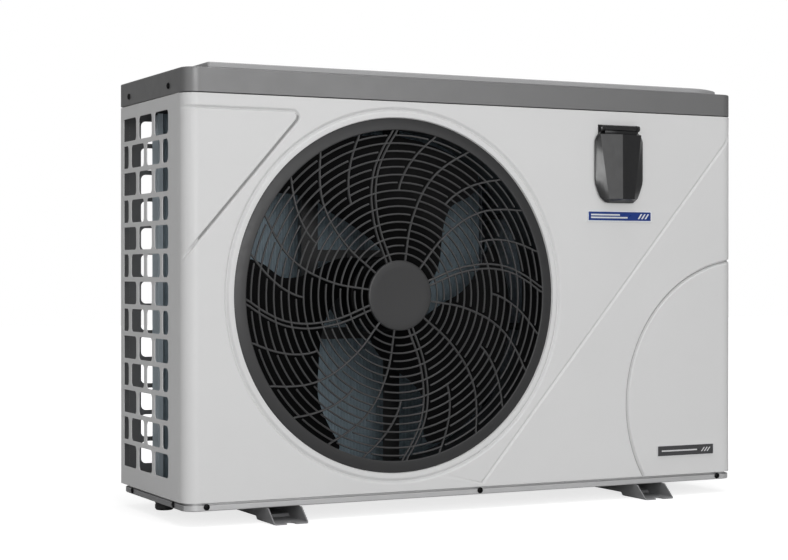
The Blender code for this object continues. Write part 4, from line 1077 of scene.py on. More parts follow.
# ------------------------------------------------------------------ base pan
def pan():
    def at(inset):
        return plan(1.5, CASE_W - 1.5, 1.5, CASE_D - 1.5, CORNER_R - 1.5, 24.0, inset, 12)

    zb = (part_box("base_pan")[0].z - Z0) / MM
    loops = [(at(6.4), 16.0), (at(6.1), 16.0), (at(5.7), 15.8), (at(5.6), 15.4), (at(5.6), -2.6), (at(0.5), -2.6), (at(0.1), -2.75), (at(0.0), -3.1),
             (at(0.0), zb + 1.6)]
    for k in range(1, 6):
        a = math.pi / 2 * k / 5
        loops.append((at(1.6 * (1 - math.cos(a))), zb + 1.6 - 1.6 * math.sin(a)))
    verts, faces = stack(loops, cap_ends=False)
    n = len(loops[0][0])
    base = (len(loops) - 1) * n
    faces.append(tuple(base + i for i in range(n)))
    inner = len(verts)
    verts += [(x, y, zb + 1.5) for x, y in at(6.4)]
    faces += [(i, (i + 1) % n, inner + (i + 1) % n, inner + i) for i in range(n)]
    faces.append(tuple(inner + i for i in range(n)))
    b = Build()
    # the strip along the left side is painted a darker grey: painted shade
    hem = [1 if all(verts[i][0] < 3.2 and verts[i][2] < -3.0 for i in f) else 0 for f in faces]
    b.add(verts, faces, hem)
    b.piece("base_pan_skin", [M["pan"], M["pan_hem"]], rep="base_pan", slot="pan_grey", sharp=50.0)


pan()


# ---------------------------------------------------------------- foot rails
def rail(name, rep):
    lo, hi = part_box(rep)
    x0, x1 = (lo.x - X0) / MM, (hi.x - X0) / MM
    y0, y1 = (lo.y - Y0) / MM, (hi.y - Y0) / MM
    zb, zt = (lo.z - Z0) / MM, (hi.z - Z0) / MM
    t, r = 2.0, 3.0
    # cross-section of the channel, from the left top inner corner round the outside
    outer = [(x0, zt - 0.4), (x0 + 0.3, zt)][::-1]
    sec = [(x0 + t, zt - 0.3), (x0 + t - 0.4, zt), (x0 + 0.4, zt), (x0, zt - 0.4)]
    sec += arc(x0 + r, zb + r, r, 180, 270, 4)
    sec += arc(x1 - r, zb + r, r, 270, 360, 4)
    sec += [(x1, zt - 0.4), (x1 - 0.4, zt), (x1 - t + 0.4, zt), (x1 - t, zt - 0.3)]
    sec += arc(x1 - r - 0.2, zb + r + 0.2, 1.2, 0, -90, 3)
    sec += arc(x0 + r + 0.2, zb + r + 0.2, 1.2, -90, -180, 3)
    mid = (x0 + x1) / 2
    stations = [(None, -1), (y0 + 52.0, 0.0), (y0 + 67.0, 0.0), (y0 + 68.0, 0.35), (y0 + 69.5, 2.5), (y0 + 71.0, 4.65), (y0 + 72.0, 5.0),
                (y1 - 72.0, 5.0), (y1 - 71.0, 4.65), (y1 - 69.5, 2.5), (y1 - 68.0, 0.35), (y1 - 67.0, 0.0), (y1 - 52.0, 0.0), (None, 1)]
    verts, faces = [], []
    for y, lift in stations:
        for x, z in sec:
            if y is None:
                s = (z - zb) / (zt - zb)
                slope = 25.0 * s
                yy = y0 + slope if lift < 0 else y1 - slope
                verts.append((x, yy, z))
            else:
                k = 1.0 - (z - zb) / (zt - zb)
                verts.append((x, y, z + max(lift, 0.0) * clamp(k * 1.0)))
    n = len(sec)
    for k in range(len(stations) - 1):
        for i in range(n):
            j = (i + 1) % n
            faces.append((k * n + i, k * n + j, (k + 1) * n + j, (k + 1) * n + i))
    faces.append(tuple(range(n))[::-1])
    last = (len(stations) - 1) * n
    faces.append(tuple(last + i for i in range(n)))
    b = Build()
    b.add(verts, faces)
    piece = b.piece(name, M["rail"], rep=rep, slot="rail_grey", sharp=40.0, weighted=False)
    # open bolt slots in both ends of the bottom
    for yc, tag in ((y0, "a"), (y1, "b")):
        cutter = Build()
        inner_y = 16.0 if yc == y0 else -16.0
        loop = [(mid - 7, yc - inner_y), (mid + 7, yc - inner_y), (mid + 7, yc + inner_y * 0.56), (mid - 7, yc + inner_y * 0.56)]
        rounded = arc(mid, yc + inner_y - (7.0 if inner_y > 0 else -7.0), 7.0, 0, 180 if inner_y > 0 else -180, 10)
        if inner_y > 0:
            loop = [(mid - 7, yc - 10), (mid + 7, yc - 10)] + rounded
        else:
            loop = [(mid + 7, yc + 10), (mid - 7, yc + 10)] + [(2 * mid - x, y) for x, y in rounded]
        loop = ccw(loop)
        m = len(loop)
        cv = [(x, y, zb - 3) for x, y in loop] + [(x, y, zb + 5) for x, y in loop]
        cf = [tuple(range(m))[::-1], tuple(range(m, 2 * m))] + [(i, (i + 1) % m, m + (i + 1) % m, m + i) for i in range(m)]
        apply_cut(piece, cv, cf)
    bev = piece.modifiers.new("edge", "BEVEL")
    bev.width = 0.00035
    bev.segments = 2
    bev.limit_method = "ANGLE"
    bev.angle_limit = math.radians(50)
    add_weighted(piece)


def apply_cut(obj, verts, faces):
    """Exact Boolean difference with a helper mesh, applied."""
    mesh = bpy.data.meshes.new("cutter")
    mesh.from_pydata([W(*v) for v in verts], [], faces)
    bm = bmesh.new()
    bm.from_mesh(mesh)
    bmesh.ops.recalc_face_normals(bm, faces=bm.faces)
    bm.to_mesh(mesh)
    bm.free()
    cut = bpy.data.objects.new("cutter", mesh)
    bpy.context.scene.collection.objects.link(cut)
    mod = obj.modifiers.new("cut", "BOOLEAN")
    mod.operation = "DIFFERENCE"
    mod.solver = "EXACT"
    mod.object = cut
    bpy.context.view_layer.update()
    dg = bpy.context.evaluated_depsgraph_get()
    new = bpy.data.meshes.new_from_object(obj.evaluated_get(dg), depsgraph=dg)
    obj.modifiers.remove(mod)
    old = obj.data
    obj.data = new
    new.name = old.name + "_cut"
    bpy.data.objects.remove(cut, do_unlink=True)


rail("rail_left", "foot_rail_left")
rail("rail_right", "foot_rail_right")

dr_lo, dr_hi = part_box("drain_spout")
DX, DY = ((dr_lo.x + dr_hi.x) / 2 - X0) / MM, ((dr_lo.y + dr_hi.y) / 2 - Y0) / MM
b = Build()
b.add(*turn((DX, DY, 0.0), "z", [(8.6, -7.2), (8.4, -7.0), (7.0, -7.0), (6.5, -7.5), (6.5, -24.4), (7.1, -25.0), (11.6, -25.0), (12.3, -24.7),
                                 (13.9, -22.4), (14.0, -21.8), (14.0, -17.2), (13.4, -16.8), (13.4, -14.6), (14.0, -14.2),
                                 (14.0, -11.7), (13.7, -11.4), (8.6, -11.4)], 64))
b.piece("drain_stub", M["duct"], rep="drain_spout", slot="fan_black", sharp=40.0)


# -------------------------------------------------------------------- screws
def screw_head(bld, at, axis, sign, r=4.6, cross=True, washer=False):
    """A pan head with a cross recess, standing proud along -sign of axis."""
    e1, e2, e3 = AXES[axis]
    c = Vector(at)
    out = e3 * (-sign)
    rows = [(r, 0.0), (r, 0.5), (r * 0.96, 1.0), (r * 0.85, 1.5), (r * 0.66, 1.95), (r * 0.45, 2.18)]
    seg = 32
    verts, faces = [], []
    start = 0
    if washer:
        rows = [(r * 1.35, 0.0), (r * 1.35, 0.35), (r * 1.28, 0.5), (r * 1.02, 0.55)] + [(q, h + 0.5) for q, h in rows[1:]]
    for q, h in rows:
        for i in range(seg):
            a = 2 * math.pi * i / seg
            verts.append(tuple(c + e1 * (q * math.cos(a)) + e2 * (q * math.sin(a)) + out * h))
    for k in range(len(rows) - 1):
        for i in range(seg):
            j = (i + 1) % seg
            faces.append((k * seg + i, k * seg + j, (k + 1) * seg + j, (k + 1) * seg + i))
    top = (len(rows) - 1) * seg
    h = rows[-1][1]
    # cross recess: a four-armed star, sunk with sloping walls
    arm, half = r * 0.40, r * 0.11
    star = []
    for k in range(4):
        a = math.pi / 2 * k
        ca, sa = math.cos(a), math.sin(a)
        for u, v in ((arm, -half), (arm, half), (half, half)):
            star.append((u * ca - v * sa, u * sa + v * ca))
    sb = len(verts)
    m = len(star)
    for u, v in star:
        verts.append(tuple(c + e1 * u + e2 * v + out * (h + 0.02)))
    for u, v in star:
        verts.append(tuple(c + e1 * (u * 0.7) + e2 * (v * 0.7) + out * (h - 1.1)))
    ring = [(rows[-1][0] * math.cos(2 * math.pi * i / seg), rows[-1][0] * math.sin(2 * math.pi * i / seg)) for i in range(seg)]
    pts, tris = flat_mesh(ring, [star])
    ids = []
    for p in pts:
        best, bi = 1e9, 0
        for i, q in enumerate(ring):
            d = (p[0] - q[0]) ** 2 + (p[1] - q[1]) ** 2
            if d < best:
                best, bi = d, top + i
        for i, q in enumerate(star):
            d = (p[0] - q[0]) ** 2 + (p[1] - q[1]) ** 2
            if d < best:
                best, bi = d, sb + i
        ids.append(bi)
    faces += [tuple(ids[i] for i in f) for f in tris]
    for i in range(m):
        j = (i + 1) % m
        faces.append((sb + i, sb + j, sb + m + j, sb + m + i))
    faces.append(tuple(sb + m + i for i in range(m)))
    # underside and shank
    under = len(verts)
    for q, hh in ((2.0, 0.0), (2.0, -7.0), (1.2, -8.6)):
        for i in range(seg):
            a = 2 * math.pi * i / seg
            verts.append(tuple(c + e1 * (q * math.cos(a)) + e2 * (q * math.sin(a)) + out * hh))
    for i in range(seg):
        j = (i + 1) % seg
        faces.append((i, j, under + j, under + i))
        faces.append((under + i, under + j, under + seg + j, under + seg + i))
        faces.append((under + seg + i, under + seg + j, under + 2 * seg + j, under + 2 * seg + i))
    faces.append(tuple(under + 2 * seg + i for i in range(seg)))
    bld.add(verts, faces)


def screw(name, node):
    lo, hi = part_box(node)
    size = hi - lo
    cx, cy, cz = ((lo.x + hi.x) / 2 - X0) / MM, ((lo.y + hi.y) / 2 - Y0) / MM, ((lo.z + hi.z) / 2 - Z0) / MM
    bl = Build()
    if size.x > size.y:
        screw_head(bl, ((lo.x - X0) / MM + 2.2, cy, cz), "x", 1)
    else:
        screw_head(bl, (cx, (lo.y - Y0) / MM + 2.2, cz), "y", 1)
    bl.piece(name, M["screw"], rep=node, slot="screw_black", sharp=35.0, weighted=False)


for tag in ("trim_screw_left_front", "trim_screw_left_rear", "base_screw_front_left", "base_screw_front_middle",
            "base_screw_front_right", "base_screw_side_front", "base_screw_side_rear"):
    screw(tag + "_head", tag)

# the same screws on the right side and the back
bl = Build()
for y in (68.0, 248.0):
    screw_head(bl, (CASE_W + 0.3, y, 597.0), "x", -1)
for y in (52.0, 237.0):
    screw_head(bl, (CASE_W - 1.2, y, -5.2), "x", -1)
for x in (30.0, 330.0, 624.0, 924.0):
    screw_head(bl, (x, CASE_D + 0.05, 597.0), "y", -1)
    if x != 624.0:
        screw_head(bl, (x, CASE_D + 0.05, 12.0 if x > 100 and x < 900 else 20.0), "y", -1, 4.0)
for z in (120.0, 300.0, 480.0):
    screw_head(bl, (624.0, CASE_D + 0.05, z), "y", -1, 4.0)
bl.piece("rear_and_right_screws", M["screw"], slot="screw_black", sharp=35.0, weighted=False)


# -------------------------------------------------------------------- grille
def lathe_point(r, a, y):
    """A point at radius r and screen angle a (degrees) round the fan's axis."""
    return Vector((FAN_X + r * math.cos(math.radians(a)), y, FAN_Z + r * math.sin(math.radians(a))))


SWEEP = [(52.5, 0.0), (92.0, 1.0), (113.0, 0.0), (156.0, -3.5), (191.0, -8.0), (247.0, -18.5)]
SHORT = [(159.0, 0.0), (191.0, -4.5), (220.0, -10.0), (247.0, -15.5)]


def sweep(r, table):
    if r <= table[0][0]:
        return table[0][1]
    for (r0, a0), (r1, a1) in zip(table, table[1:]):
        if r <= r1:
            t = (r - r0) / (r1 - r0)
            return a0 + (a1 - a0) * t
    return table[-1][1]


def smooth_sweep(r, table):
    """The table eased by averaging over a small window."""
    return sum(sweep(r + d, table) for d in (-12, -8, -4, 0, 4, 8, 12)) / 7.0 if r < 240 else sweep(r, table)


LONG_RIBS = [110.0 - 29.77 * k + (0.0 if k else 0.0) for k in range(12)]
LONG_RIBS = [110.0 - 30.0 * k for k in range(12)]
SHORT_RIBS = [121.0 - 30.0 * k for k in range(12)]
DOUBLE = (0, 3, 6, 9)


def grille():
    bl = Build()
    # rim: a flat ring with a slightly raised inner edge
    prof = [(247.6, 3.5), (247.0, 2.9), (247.0, 0.7), (247.5, 0.15), (248.6, 0.0), (256.5, 1.25), (263.9, 2.55), (264.7, 2.8),
            (264.9, 3.1), (264.9, 3.35), (264.6, 3.6)]
    bl.add(*turn((FAN_X, 0.0, FAN_Z), "y", prof, 180), mat=0)
    # hub: a flat disc with a soft edge and a shallow dish behind
    prof = [(0.0, 0.55), (20.0, 0.5), (40.0, 0.25), (49.5, 0.0), (51.4, 0.25), (52.3, 1.0), (52.5, 1.8), (52.5, 5.0), (51.9, 5.6), (50.6, 5.6),
            (50.2, 5.0), (50.2, 3.0), (49.0, 2.6), (0.0, 2.6)]
    bl.add(*turn((FAN_X, 0.0, FAN_Z), "y", prof, 128), mat=0)
    wire_y = 2.1
    # spokes
    centre_lines = []
    for k, base in enumerate(LONG_RIBS):
        offs = (-3.6, 3.6) if k in DOUBLE else (0.0,)
        for o in offs:
            pts, n = [], 26
            for i in range(n + 1):
                r = 50.5 + (249.0 - 50.5) * i / n
                a = base + smooth_sweep(r, SWEEP)
                # sideways shift of a double spoke, at right angles to the radius
                a += math.degrees(o / r)
                pts.append(lathe_point(r, a, wire_y + 0.35))
            centre_lines.append(pts)
            bl.add(*rod(pts, 1.75, 8, squash=1.0), mat=1)
    for base in SHORT_RIBS:
        pts, n = [], 14
        for i in range(n + 1):
            r = 157.5 + (249.0 - 157.5) * i / n
            pts.append(lathe_point(r, base + smooth_sweep(r, SHORT), wire_y + 0.35))
        bl.add(*rod(pts, 1.75, 8), mat=1)
    # rings: even ones run through, odd ones stop short of each spoke
    for i in range(16):
        r = 63.0 + 11.75 * i
        if i % 2 == 0:
            n = int(48 + r * 0.42)
            bl.add(*rod([lathe_point(r, 360.0 * k / n, wire_y) for k in range(n)], 1.55, 8, closed=True), mat=1)
            continue
        stops = []
        for k, base in enumerate(LONG_RIBS):
            a = base + smooth_sweep(r, SWEEP)
            wide = k in DOUBLE
            stops.append((a, 3.6 if wide else 0.0, 8.6 if wide else 5.4))
        if r > 160.0:
            for base in SHORT_RIBS:
                stops.append((base + smooth_sweep(r, SHORT), 0.0, 5.4))
        stops = sorted((a % 360.0, half, gap) for a, half, gap in stops)
        for (a0, h0, g0), (a1, h1, g1) in zip(stops, stops[1:] + [(stops[0][0] + 360.0, stops[0][1], stops[0][2])]):
            # going counter-clockwise away from a spoke the ring starts after a gap
            s0 = a0 + math.degrees(g0 / r)
            s1 = a1 - math.degrees(h1 / r)
            if s1 - s0 < 1.0:
                continue
            n = max(4, int((s1 - s0) / 3.2) + 1)
            bl.add(*rod([lathe_point(r, s0 + (s1 - s0) * k / n, wire_y) for k in range(n + 1)], 1.55, 8), mat=1)
    bl.piece("fan_guard", [M["grille"], M["wire"]], rep="fan_grille", slot="grille_grey", sharp=45.0, weighted=False)


grille()


# ------------------------------------------------------------ fan and shroud
FR_LO, FR_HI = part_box("fan_rotor")
FAN_Y0 = (FR_LO.y - Y0) / MM
FAN_Y1 = (FR_HI.y - Y0) / MM


BLADE = [(54.5, -2.0, 60.0, 53.0, 92.0), (90.0, 21.0, 92.0, 46.0, 108.0), (130.0, 44.0, 112.0, 42.0, 118.0),
         (169.0, 51.0, 121.0, 42.0, 120.0), (208.0, 47.0, 132.0, 43.0, 120.0), (244.6, 46.0, 142.0, 45.0, 119.0)]


def blade_row(r):
    """The blade's angles and depths at a radius, by Catmull-Rom through its table."""
    k = 0
    while k < len(BLADE) - 2 and r > BLADE[k + 1][0]:
        k += 1
    p1, p2 = BLADE[k], BLADE[k + 1]
    p0 = BLADE[k - 1] if k > 0 else tuple(2 * x - y for x, y in zip(p1, p2))
    p3 = BLADE[k + 2] if k + 2 < len(BLADE) else tuple(2 * y - x for x, y in zip(p1, p2))
    t = (r - p1[0]) / (p2[0] - p1[0])
    out = []
    for i in range(1, 5):
        m1 = (p2[i] - p0[i]) / (p2[0] - p0[0]) * (p2[0] - p1[0])
        m2 = (p3[i] - p1[i]) / (p3[0] - p1[0]) * (p2[0] - p1[0])
        out.append((2 * t ** 3 - 3 * t * t + 1) * p1[i] + (t ** 3 - 2 * t * t + t) * m1 + (3 * t * t - 2 * t ** 3) * p2[i] + (t ** 3 - t * t) * m2)
    return out


def blade(c):
    """One blade as a closed lofted shell with thinned edges."""
    nr, nf = 34, 26
    r0, r1 = 54.5, 244.6
    front, back = [], []
    for i in range(nr + 1):
        s = 1.0 - (1.0 - i / nr) ** 1.25
        r = r0 + (r1 - r0) * s
        first, last, y0, y1 = blade_row(r)
        pinch = 0.0
        if s > 0.90:
            q = (s - 0.90) / 0.10
            pinch = 7.0 * (1 - math.sqrt(max(0.0, 1 - q * q * 0.985)))
        fr, bk = [], []
        for j in range(nf + 1):
            f = 0.5 - 0.5 * math.cos(math.pi * j / nf)
            a = c + first + pinch + (last - first - 1.6 * pinch) * f
            y = y0 + (y1 - y0) * f - 4.0 * math.sin(math.pi * f) * s
            t = 3.2 - 1.2 * s
            thin = min(1.0, 0.15 + math.sqrt(max(0.0, 4 * f * (1 - f))) * 1.1)
            mid = y + t * 0.5
            p = lathe_point(r, a, 0.0)
            fr.append((p.x, mid - t * 0.5 * thin, p.z))
            bk.append((p.x, mid + t * 0.5 * thin, p.z))
        front.append(fr)
        back.append(bk)
    verts = [p for row in front for p in row] + [p for row in back for p in row]
    m = nf + 1
    off = (nr + 1) * m
    faces = []
    for i in range(nr):
        for j in range(nf):
            a, b, c2, d = i * m + j, i * m + j + 1, (i + 1) * m + j + 1, (i + 1) * m + j
            faces.append((a, b, c2, d))
            faces.append((off + a, off + d, off + c2, off + b))
    for i in range(nr):
        for j in (0, nf):
            a, b = i * m + j, (i + 1) * m + j
            faces.append((a, b, off + b, off + a))
    for j in range(nf):
        for i in (0, nr):
            a, b = i * m + j, i * m + j + 1
            faces.append((a, b, off + b, off + a))
    return verts, faces


def fan():
    bl = Build()
    for c in (-120.0, 0.0, 120.0):
        bl.add(*blade(c))
    prof = [(6.6, 52.3), (7.2, 52.0), (22.0, 51.6), (24.0, 52.6), (26.0, 54.0), (44.0, 53.4), (47.0, 50.6), (54.5, 50.4), (56.8, 51.0), (57.9, 52.6),
            (58.0, 54.0), (58.0, 96.0), (57.5, 97.0), (55.5, 97.0), (55.0, 96.0), (55.0, 64.0), (20.0, 62.0), (20.0, 90.0), (6.6, 90.0)]
    bl.add(*turn((FAN_X, 0.0, FAN_Z), "y", prof, 96))
    for k in range(6):
        a = 60.0 * k + 15.0
        p0, p1 = lathe_point(15.0, a, 56.0), lathe_point(53.0, a, 56.6)
        bl.add(*rod([p0, p0.lerp(p1, 0.5), p1], 1.4, 6))
    bl.piece("fan_wheel", M["fan"], body="fan", rep="fan_rotor", slot="fan_black", sharp=45.0)
    prof = [(256.9, 12.6), (258.8, 12.0), (267.2, 7.4), (267.2, 5.9), (266.7, 5.5), (253.6, 5.5), (252.9, 6.2), (252.9, 12.0), (254.9, 20.0),
            (255.0, 75.6), (255.5, 76.0), (256.4, 75.9), (256.6, 22.0)]
    bl = Build()
    bl.add(*turn((FAN_X, 0.0, FAN_Z), "y", prof[::-1], 160))
    bl.piece("fan_shroud", M["duct"], rep="fan_orifice", slot="fan_black", sharp=40.0)


fan()


# ------------------------------------------------------------------ the coil
EV_LO, EV_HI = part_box("evaporator_coil")


def coil():
    x0, x1 = (EV_LO.x - X0) / MM, (EV_HI.x - X0) / MM
    y0, y1 = (EV_LO.y - Y0) / MM, (EV_HI.y - Y0) / MM
    z0, z1 = (EV_LO.z - Z0) / MM + 0.2, (EV_HI.z - Z0) / MM
    cx, cy = 0.0, 0.0
    bl = Build()
    # corrugated fin stack: fins as one comb each on the front and the back
    pitch = 2.6
    n = int((x1 - x0 - 1.0) / pitch)
    start = x0 + 0.5 + ((x1 - x0 - 1.0) - n * pitch) / 2
    comb = []
    rise = 0.62
    # outline of the comb in plan: along the front with teeth, back along the rear
    for k in range(n):
        a = start + k * pitch
        comb += [(a + pitch * 0.16, y0 + 1.9), (a + pitch * 0.36, y0 + 0.1), (a + pitch * 0.64, y0 + 0.1), (a + pitch * 0.84, y0 + 1.9)]
    for k in reversed(range(n)):
        a = start + k * pitch
        comb += [(a + pitch * 0.84, y1 - 1.9), (a + pitch * 0.64, y1 - 0.1), (a + pitch * 0.36, y1 - 0.1), (a + pitch * 0.16, y1 - 1.9)]
    m = len(comb)
    verts = [(x, y, z0) for x, y in comb] + [(x, y, z1) for x, y in comb]
    faces = [(i, (i + 1) % m, m + (i + 1) % m, m + i) for i in range(m)]
    half = m // 2
    # caps as strips between the front and the back teeth
    for lvl in (0, m):
        for i in range(half - 1):
            faces.append((lvl + i, lvl + i + 1, lvl + m - 2 - i, lvl + m - 1 - i))
    bl.add(verts, faces)
    bl.piece("coil_fins", M["fin"], rep="evaporator_coil", slot="coil_blue", sharp=20.0, weighted=False)
    # hairpin bends at the right end, two rows
    bl = Build()
    pitch_z = 25.4
    count = int((z1 - z0 - 16.0) / pitch_z)
    for row, yy in ((0, y0 + 9.5), (1, y1 - 9.5)):
        base = z0 + 14.0 + (12.7 if row else 0.0)
        k = 0
        while base + (k + 1) * pitch_z < z1 - 6.0:
            za, zb = base + k * pitch_z, base + (k + 1) * pitch_z
            zc, rr = (za + zb) / 2, pitch_z / 2
            if k % 2 == 0:
                pts = [(x1 + 0.5, yy, za), (x1 + 4.0, yy, za)]
                pts += [(x1 + 4.0 + rr * math.sin(math.pi * q / 10), yy, zc - rr * math.cos(math.pi * q / 10)) for q in range(1, 10)]
                pts += [(x1 + 4.0, yy, zb), (x1 + 0.5, yy, zb)]
            bl_ok = k % 2 == 0
            if bl_ok:
                bl.add(*rod(pts, 4.6, 10))
            k += 1
    bl.piece("coil_return_bends", M["coil_tube"], slot="copper", sharp=60.0, weighted=False)


coil()


# ---------------------------------------------------------------- controller
KX = 726.5


def controller():
    # the flap: a slab with faceted front, its facets kept crisp
    rim_pts = [(681.5, 470.0), (690.5, 447.0), (701.5, 438.0), (752.5, 438.0), (762.5, 446.0), (771.5, 470.0), (771.5, 539.0),
               (763.0, 549.8), (690.0, 549.8), (681.5, 539.0)]
    rads = [6.0, 5.0, 4.0, 4.0, 5.0, 6.0, 4.0, 3.0, 3.0, 4.0]
    rim = ccw(fillet(rim_pts, rads, 4))
    facet = [(688.0, 546.0), (702.5, 444.0), (750.5, 444.0), (765.0, 546.0)]
    ridge = [(KX, 444.0), (KX, 546.0)]
    inner = shift(rim, 0.9)
    side_l, side_r = [facet[0], facet[1]], [facet[2], facet[3]]
    verts, faces = [], []

    def grid(rows):
        base, n = len(verts), len(rows[0])
        for row in rows:
            verts.extend(list(p) for p in row)
        for i in range(len(rows) - 1):
            for j in range(n - 1):
                q = base + i * n + j
                faces.append((q, q + 1, q + n + 1, q + n))

    def front(u, v):
        w = (546.0 - v) / 102.0
        left, right = 688.0 + 14.5 * w, 765.0 - 14.5 * w
        rise = 9.2 + 2.6 * w
        return -rise - (4.8 - 1.6 * w) * (clamp((u - left) / (KX - left)) if u <= KX else clamp((right - u) / (right - KX)))

    for edge0, edge1 in ((688.0, 14.5), (765.0, -14.5)):
        rows = []
        for k in range(15):
            v = 546.0 - 102.0 * k / 14
            x_edge = edge0 + edge1 * k / 14
            rows.append([(x_edge + (KX - x_edge) * j / 7, front(x_edge + (KX - x_edge) * j / 7, v), v) for j in range(8)])
        grid(rows)

    # bevels between the facets and the rounded outline
    def resample(path, n):
        lens = [0.0]
        for p, q in zip(path, path[1:]):
            lens.append(lens[-1] + math.hypot(q[0] - p[0], q[1] - p[1]))
        out, k = [], 0
        for i in range(n + 1):
            t = lens[-1] * i / n
            while k < len(path) - 2 and lens[k + 1] < t:
                k += 1
            f = (t - lens[k]) / max(lens[k + 1] - lens[k], 1e-9)
            out.append((path[k][0] + (path[k + 1][0] - path[k][0]) * f, path[k][1] + (path[k + 1][1] - path[k][1]) * f))
        return out

    def nearest(loop, p):
        return min(range(len(loop)), key=lambda i: (loop[i][0] - p[0]) ** 2 + (loop[i][1] - p[1]) ** 2)

    splits = [nearest(inner, p) for p in ((685.2, 545.0), (695.2, 443.0), (757.6, 443.0), (767.4, 545.0))]
    corners = [(inner[i], f) for i, f in zip(splits, facet)]
    counts = (14, 14, 14, 14)
    rim_pts_all = []
    for k in range(4):
        i0, i1 = splits[k], splits[(k + 1) % 4]
        part = []
        i = i0
        while True:
            part.append(inner[i])
            if i == i1:
                break
            i = (i + 1) % len(inner)
        outer_pts = resample(part, counts[k])
        f0, f1 = facet[k], facet[(k + 1) % 4]
        rows = []
        for m in range(5):
            row = []
            for j in range(counts[k] + 1):
                t = j / counts[k]
                u, v = f0[0] + (f1[0] - f0[0]) * t, f0[1] + (f1[1] - f0[1]) * t
                yy = front(u, v)
                q = outer_pts[j]
                g = m / 4
                row.append((u + (q[0] - u) * g, yy + (-4.6 - yy) * g, v + (q[1] - v) * g))
            rows.append(row)
        # the facet's own sampling on the top and bottom edges is kept by matching the ridge point
        grid(rows)
        rim_pts_all += outer_pts[:-1]
    loop_pts = rim_pts_all
    outer = shift(loop_pts, -0.9)
    prev = []
    for u, v in loop_pts:
        prev.append(len(verts))
        verts.append([u, -4.6, v])
    for path, y in ((outer, -4.0), (outer, -2.6), (shift(outer, 0.6), -2.0)):
        ids = []
        for u, v in path:
            ids.append(len(verts))
            verts.append([u, y, v])
        for j in range(len(ids)):
            k = (j + 1) % len(ids)
            faces.append((prev[k], prev[j], ids[j], ids[k]))
        prev = ids
    faces.append(tuple(prev))
    bl = Build()
    bl.add(verts, faces)
    # the hinge barrel and its web
    bl.add(*turn((KX, -6.7, 556.0), "x", [(2.2, -29.2), (2.9, -29.2), (4.3, -29.0), (4.7, -28.5), (4.7, 28.5), (4.3, 29.0), (2.9, 29.2), (2.2, 29.2)], 40))
    bl.add(*box_shell((697.6, 755.4), (-8.4, -4.4), (546.6, 555.8), 0.3))
    flap = bl.piece("flap_shell", M["flap"], body="flap", rep="controller_flap", slot="controller_black", sharp=38.0, weighted=False)
    creases = [side_l, side_r, [facet[0], facet[3]], [facet[1], facet[2]], ridge] + [[a, b] for a, b in corners]

    def near(p, line):
        return seg_distance(p, *line)[0] < 0.05

    mesh = flap.data
    for e in mesh.edges:
        ends = []
        for vi in e.vertices:
            co = mesh.vertices[vi].co
            ends.append(((co.x - X0) / MM, (co.z - Z0) / MM, (co.y - Y0) / MM))
        if all(p[2] < -4.5 for p in ends) and any(near(ends[0][:2], c) and near(ends[1][:2], c) for c in creases):
            e.use_edge_sharp = True
    bl = Build()
    bl.add(*turn((KX, -6.7, 556.0), "x", [(0.0, -34.9), (1.1, -34.9), (1.5, -34.5), (1.5, 34.5), (1.1, 34.9), (0.0, 34.9)], 32))
    bl.piece("hinge_pin_turned", M["steel"], rep="flap_hinge_pin", slot="steel", sharp=40.0)
    # display: glass over a film with generic level bars
    d_lo, d_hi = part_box("controller_display")
    x0, x1 = (d_lo.x - X0) / MM, (d_hi.x - X0) / MM
    yf = (d_lo.y - Y0) / MM
    yb = (d_hi.y - Y0) / MM
    z0, z1 = (d_lo.z - Z0) / MM, (d_hi.z - Z0) / MM
    bl = Build()
    v, f = sheet(on_front(yf + 0.25), rrect(x0, x1, z0, z1, 2.2, 5), (), (), t=yb - yf - 0.3, b=0.5, n=3)
    bl.add(v, f, 0)
    v, f = sheet(on_front(yf + 0.12), rrect(x0 + 4.5, x1 - 4.5, z0 + 6.0, z1 - 5.0, 1.0, 3), (), (), t=0.4, b=0.12, n=2)
    bl.add(v, f, 1)
    for k in range(6):
        hgt = 5.0 + 2.6 * k
        xx = x0 + 9.0 + 5.6 * k
        v, f = sheet(on_front(yf), rrect(xx, xx + 3.4, z0 + 10.0, z0 + 10.0 + hgt, 0.5, 2), (), (), t=0.3, b=0.08, n=1)
        bl.add(v, f, 2)
    bl.piece("display_pane", [M["display"], M["lcd"], M["mark"]], rep="controller_display", slot="display_glass", sharp=40.0)
    for i, tag in enumerate(("controller_button_1", "controller_button_2", "controller_button_3")):
        lo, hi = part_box(tag)
        cx, cz = ((lo.x + hi.x) / 2 - X0) / MM, ((lo.z + hi.z) / 2 - Z0) / MM
        y0, y1 = (lo.y - Y0) / MM, (hi.y - Y0) / MM
        r = (hi.x - lo.x) / 2 / MM
        bl = Build()
        prof = [(0.0, y0 + 0.9), (r * 0.45, y0 + 0.75), (r * 0.78, y0 + 0.15), (r * 0.88, y0), (r * 0.96, y0 + 0.2), (r, y0 + 0.8), (r, y1 - 0.4),
                (r - 0.4, y1), (0.0, y1)]
        bl.add(*turn((cx, 0.0, cz), "y", prof, 48), mat=0)
        # generic printed marks: a bar, a ring and a pair of bars
        if i == 1:
            bl.add(*turn((cx, 0.0, cz), "y", [(1.5, y0 + 0.86), (1.5, y0 + 0.62), (2.2, y0 + 0.58), (2.2, y0 + 0.86)], 32), mat=1)
        else:
            bars = ((0.0, 2.2, 0.45),) if i == 0 else ((0.0, 2.2, 0.45), (0.0, 0.45, 2.2))
            for off, hw, hh in bars:
                v, f = sheet(on_front(y0 + 0.58), rrect(cx - hw, cx + hw, cz - hh + off, cz + hh + off, 0.15, 2), (), (), t=0.3, b=0.08, n=1)
                bl.add(v, f, 1)
        bl.piece("button_cap_%d" % (i + 1), [M["button"], M["mark"]], body="button_%d" % (i + 1), rep=tag, slot="button_grey", sharp=40.0)


controller()


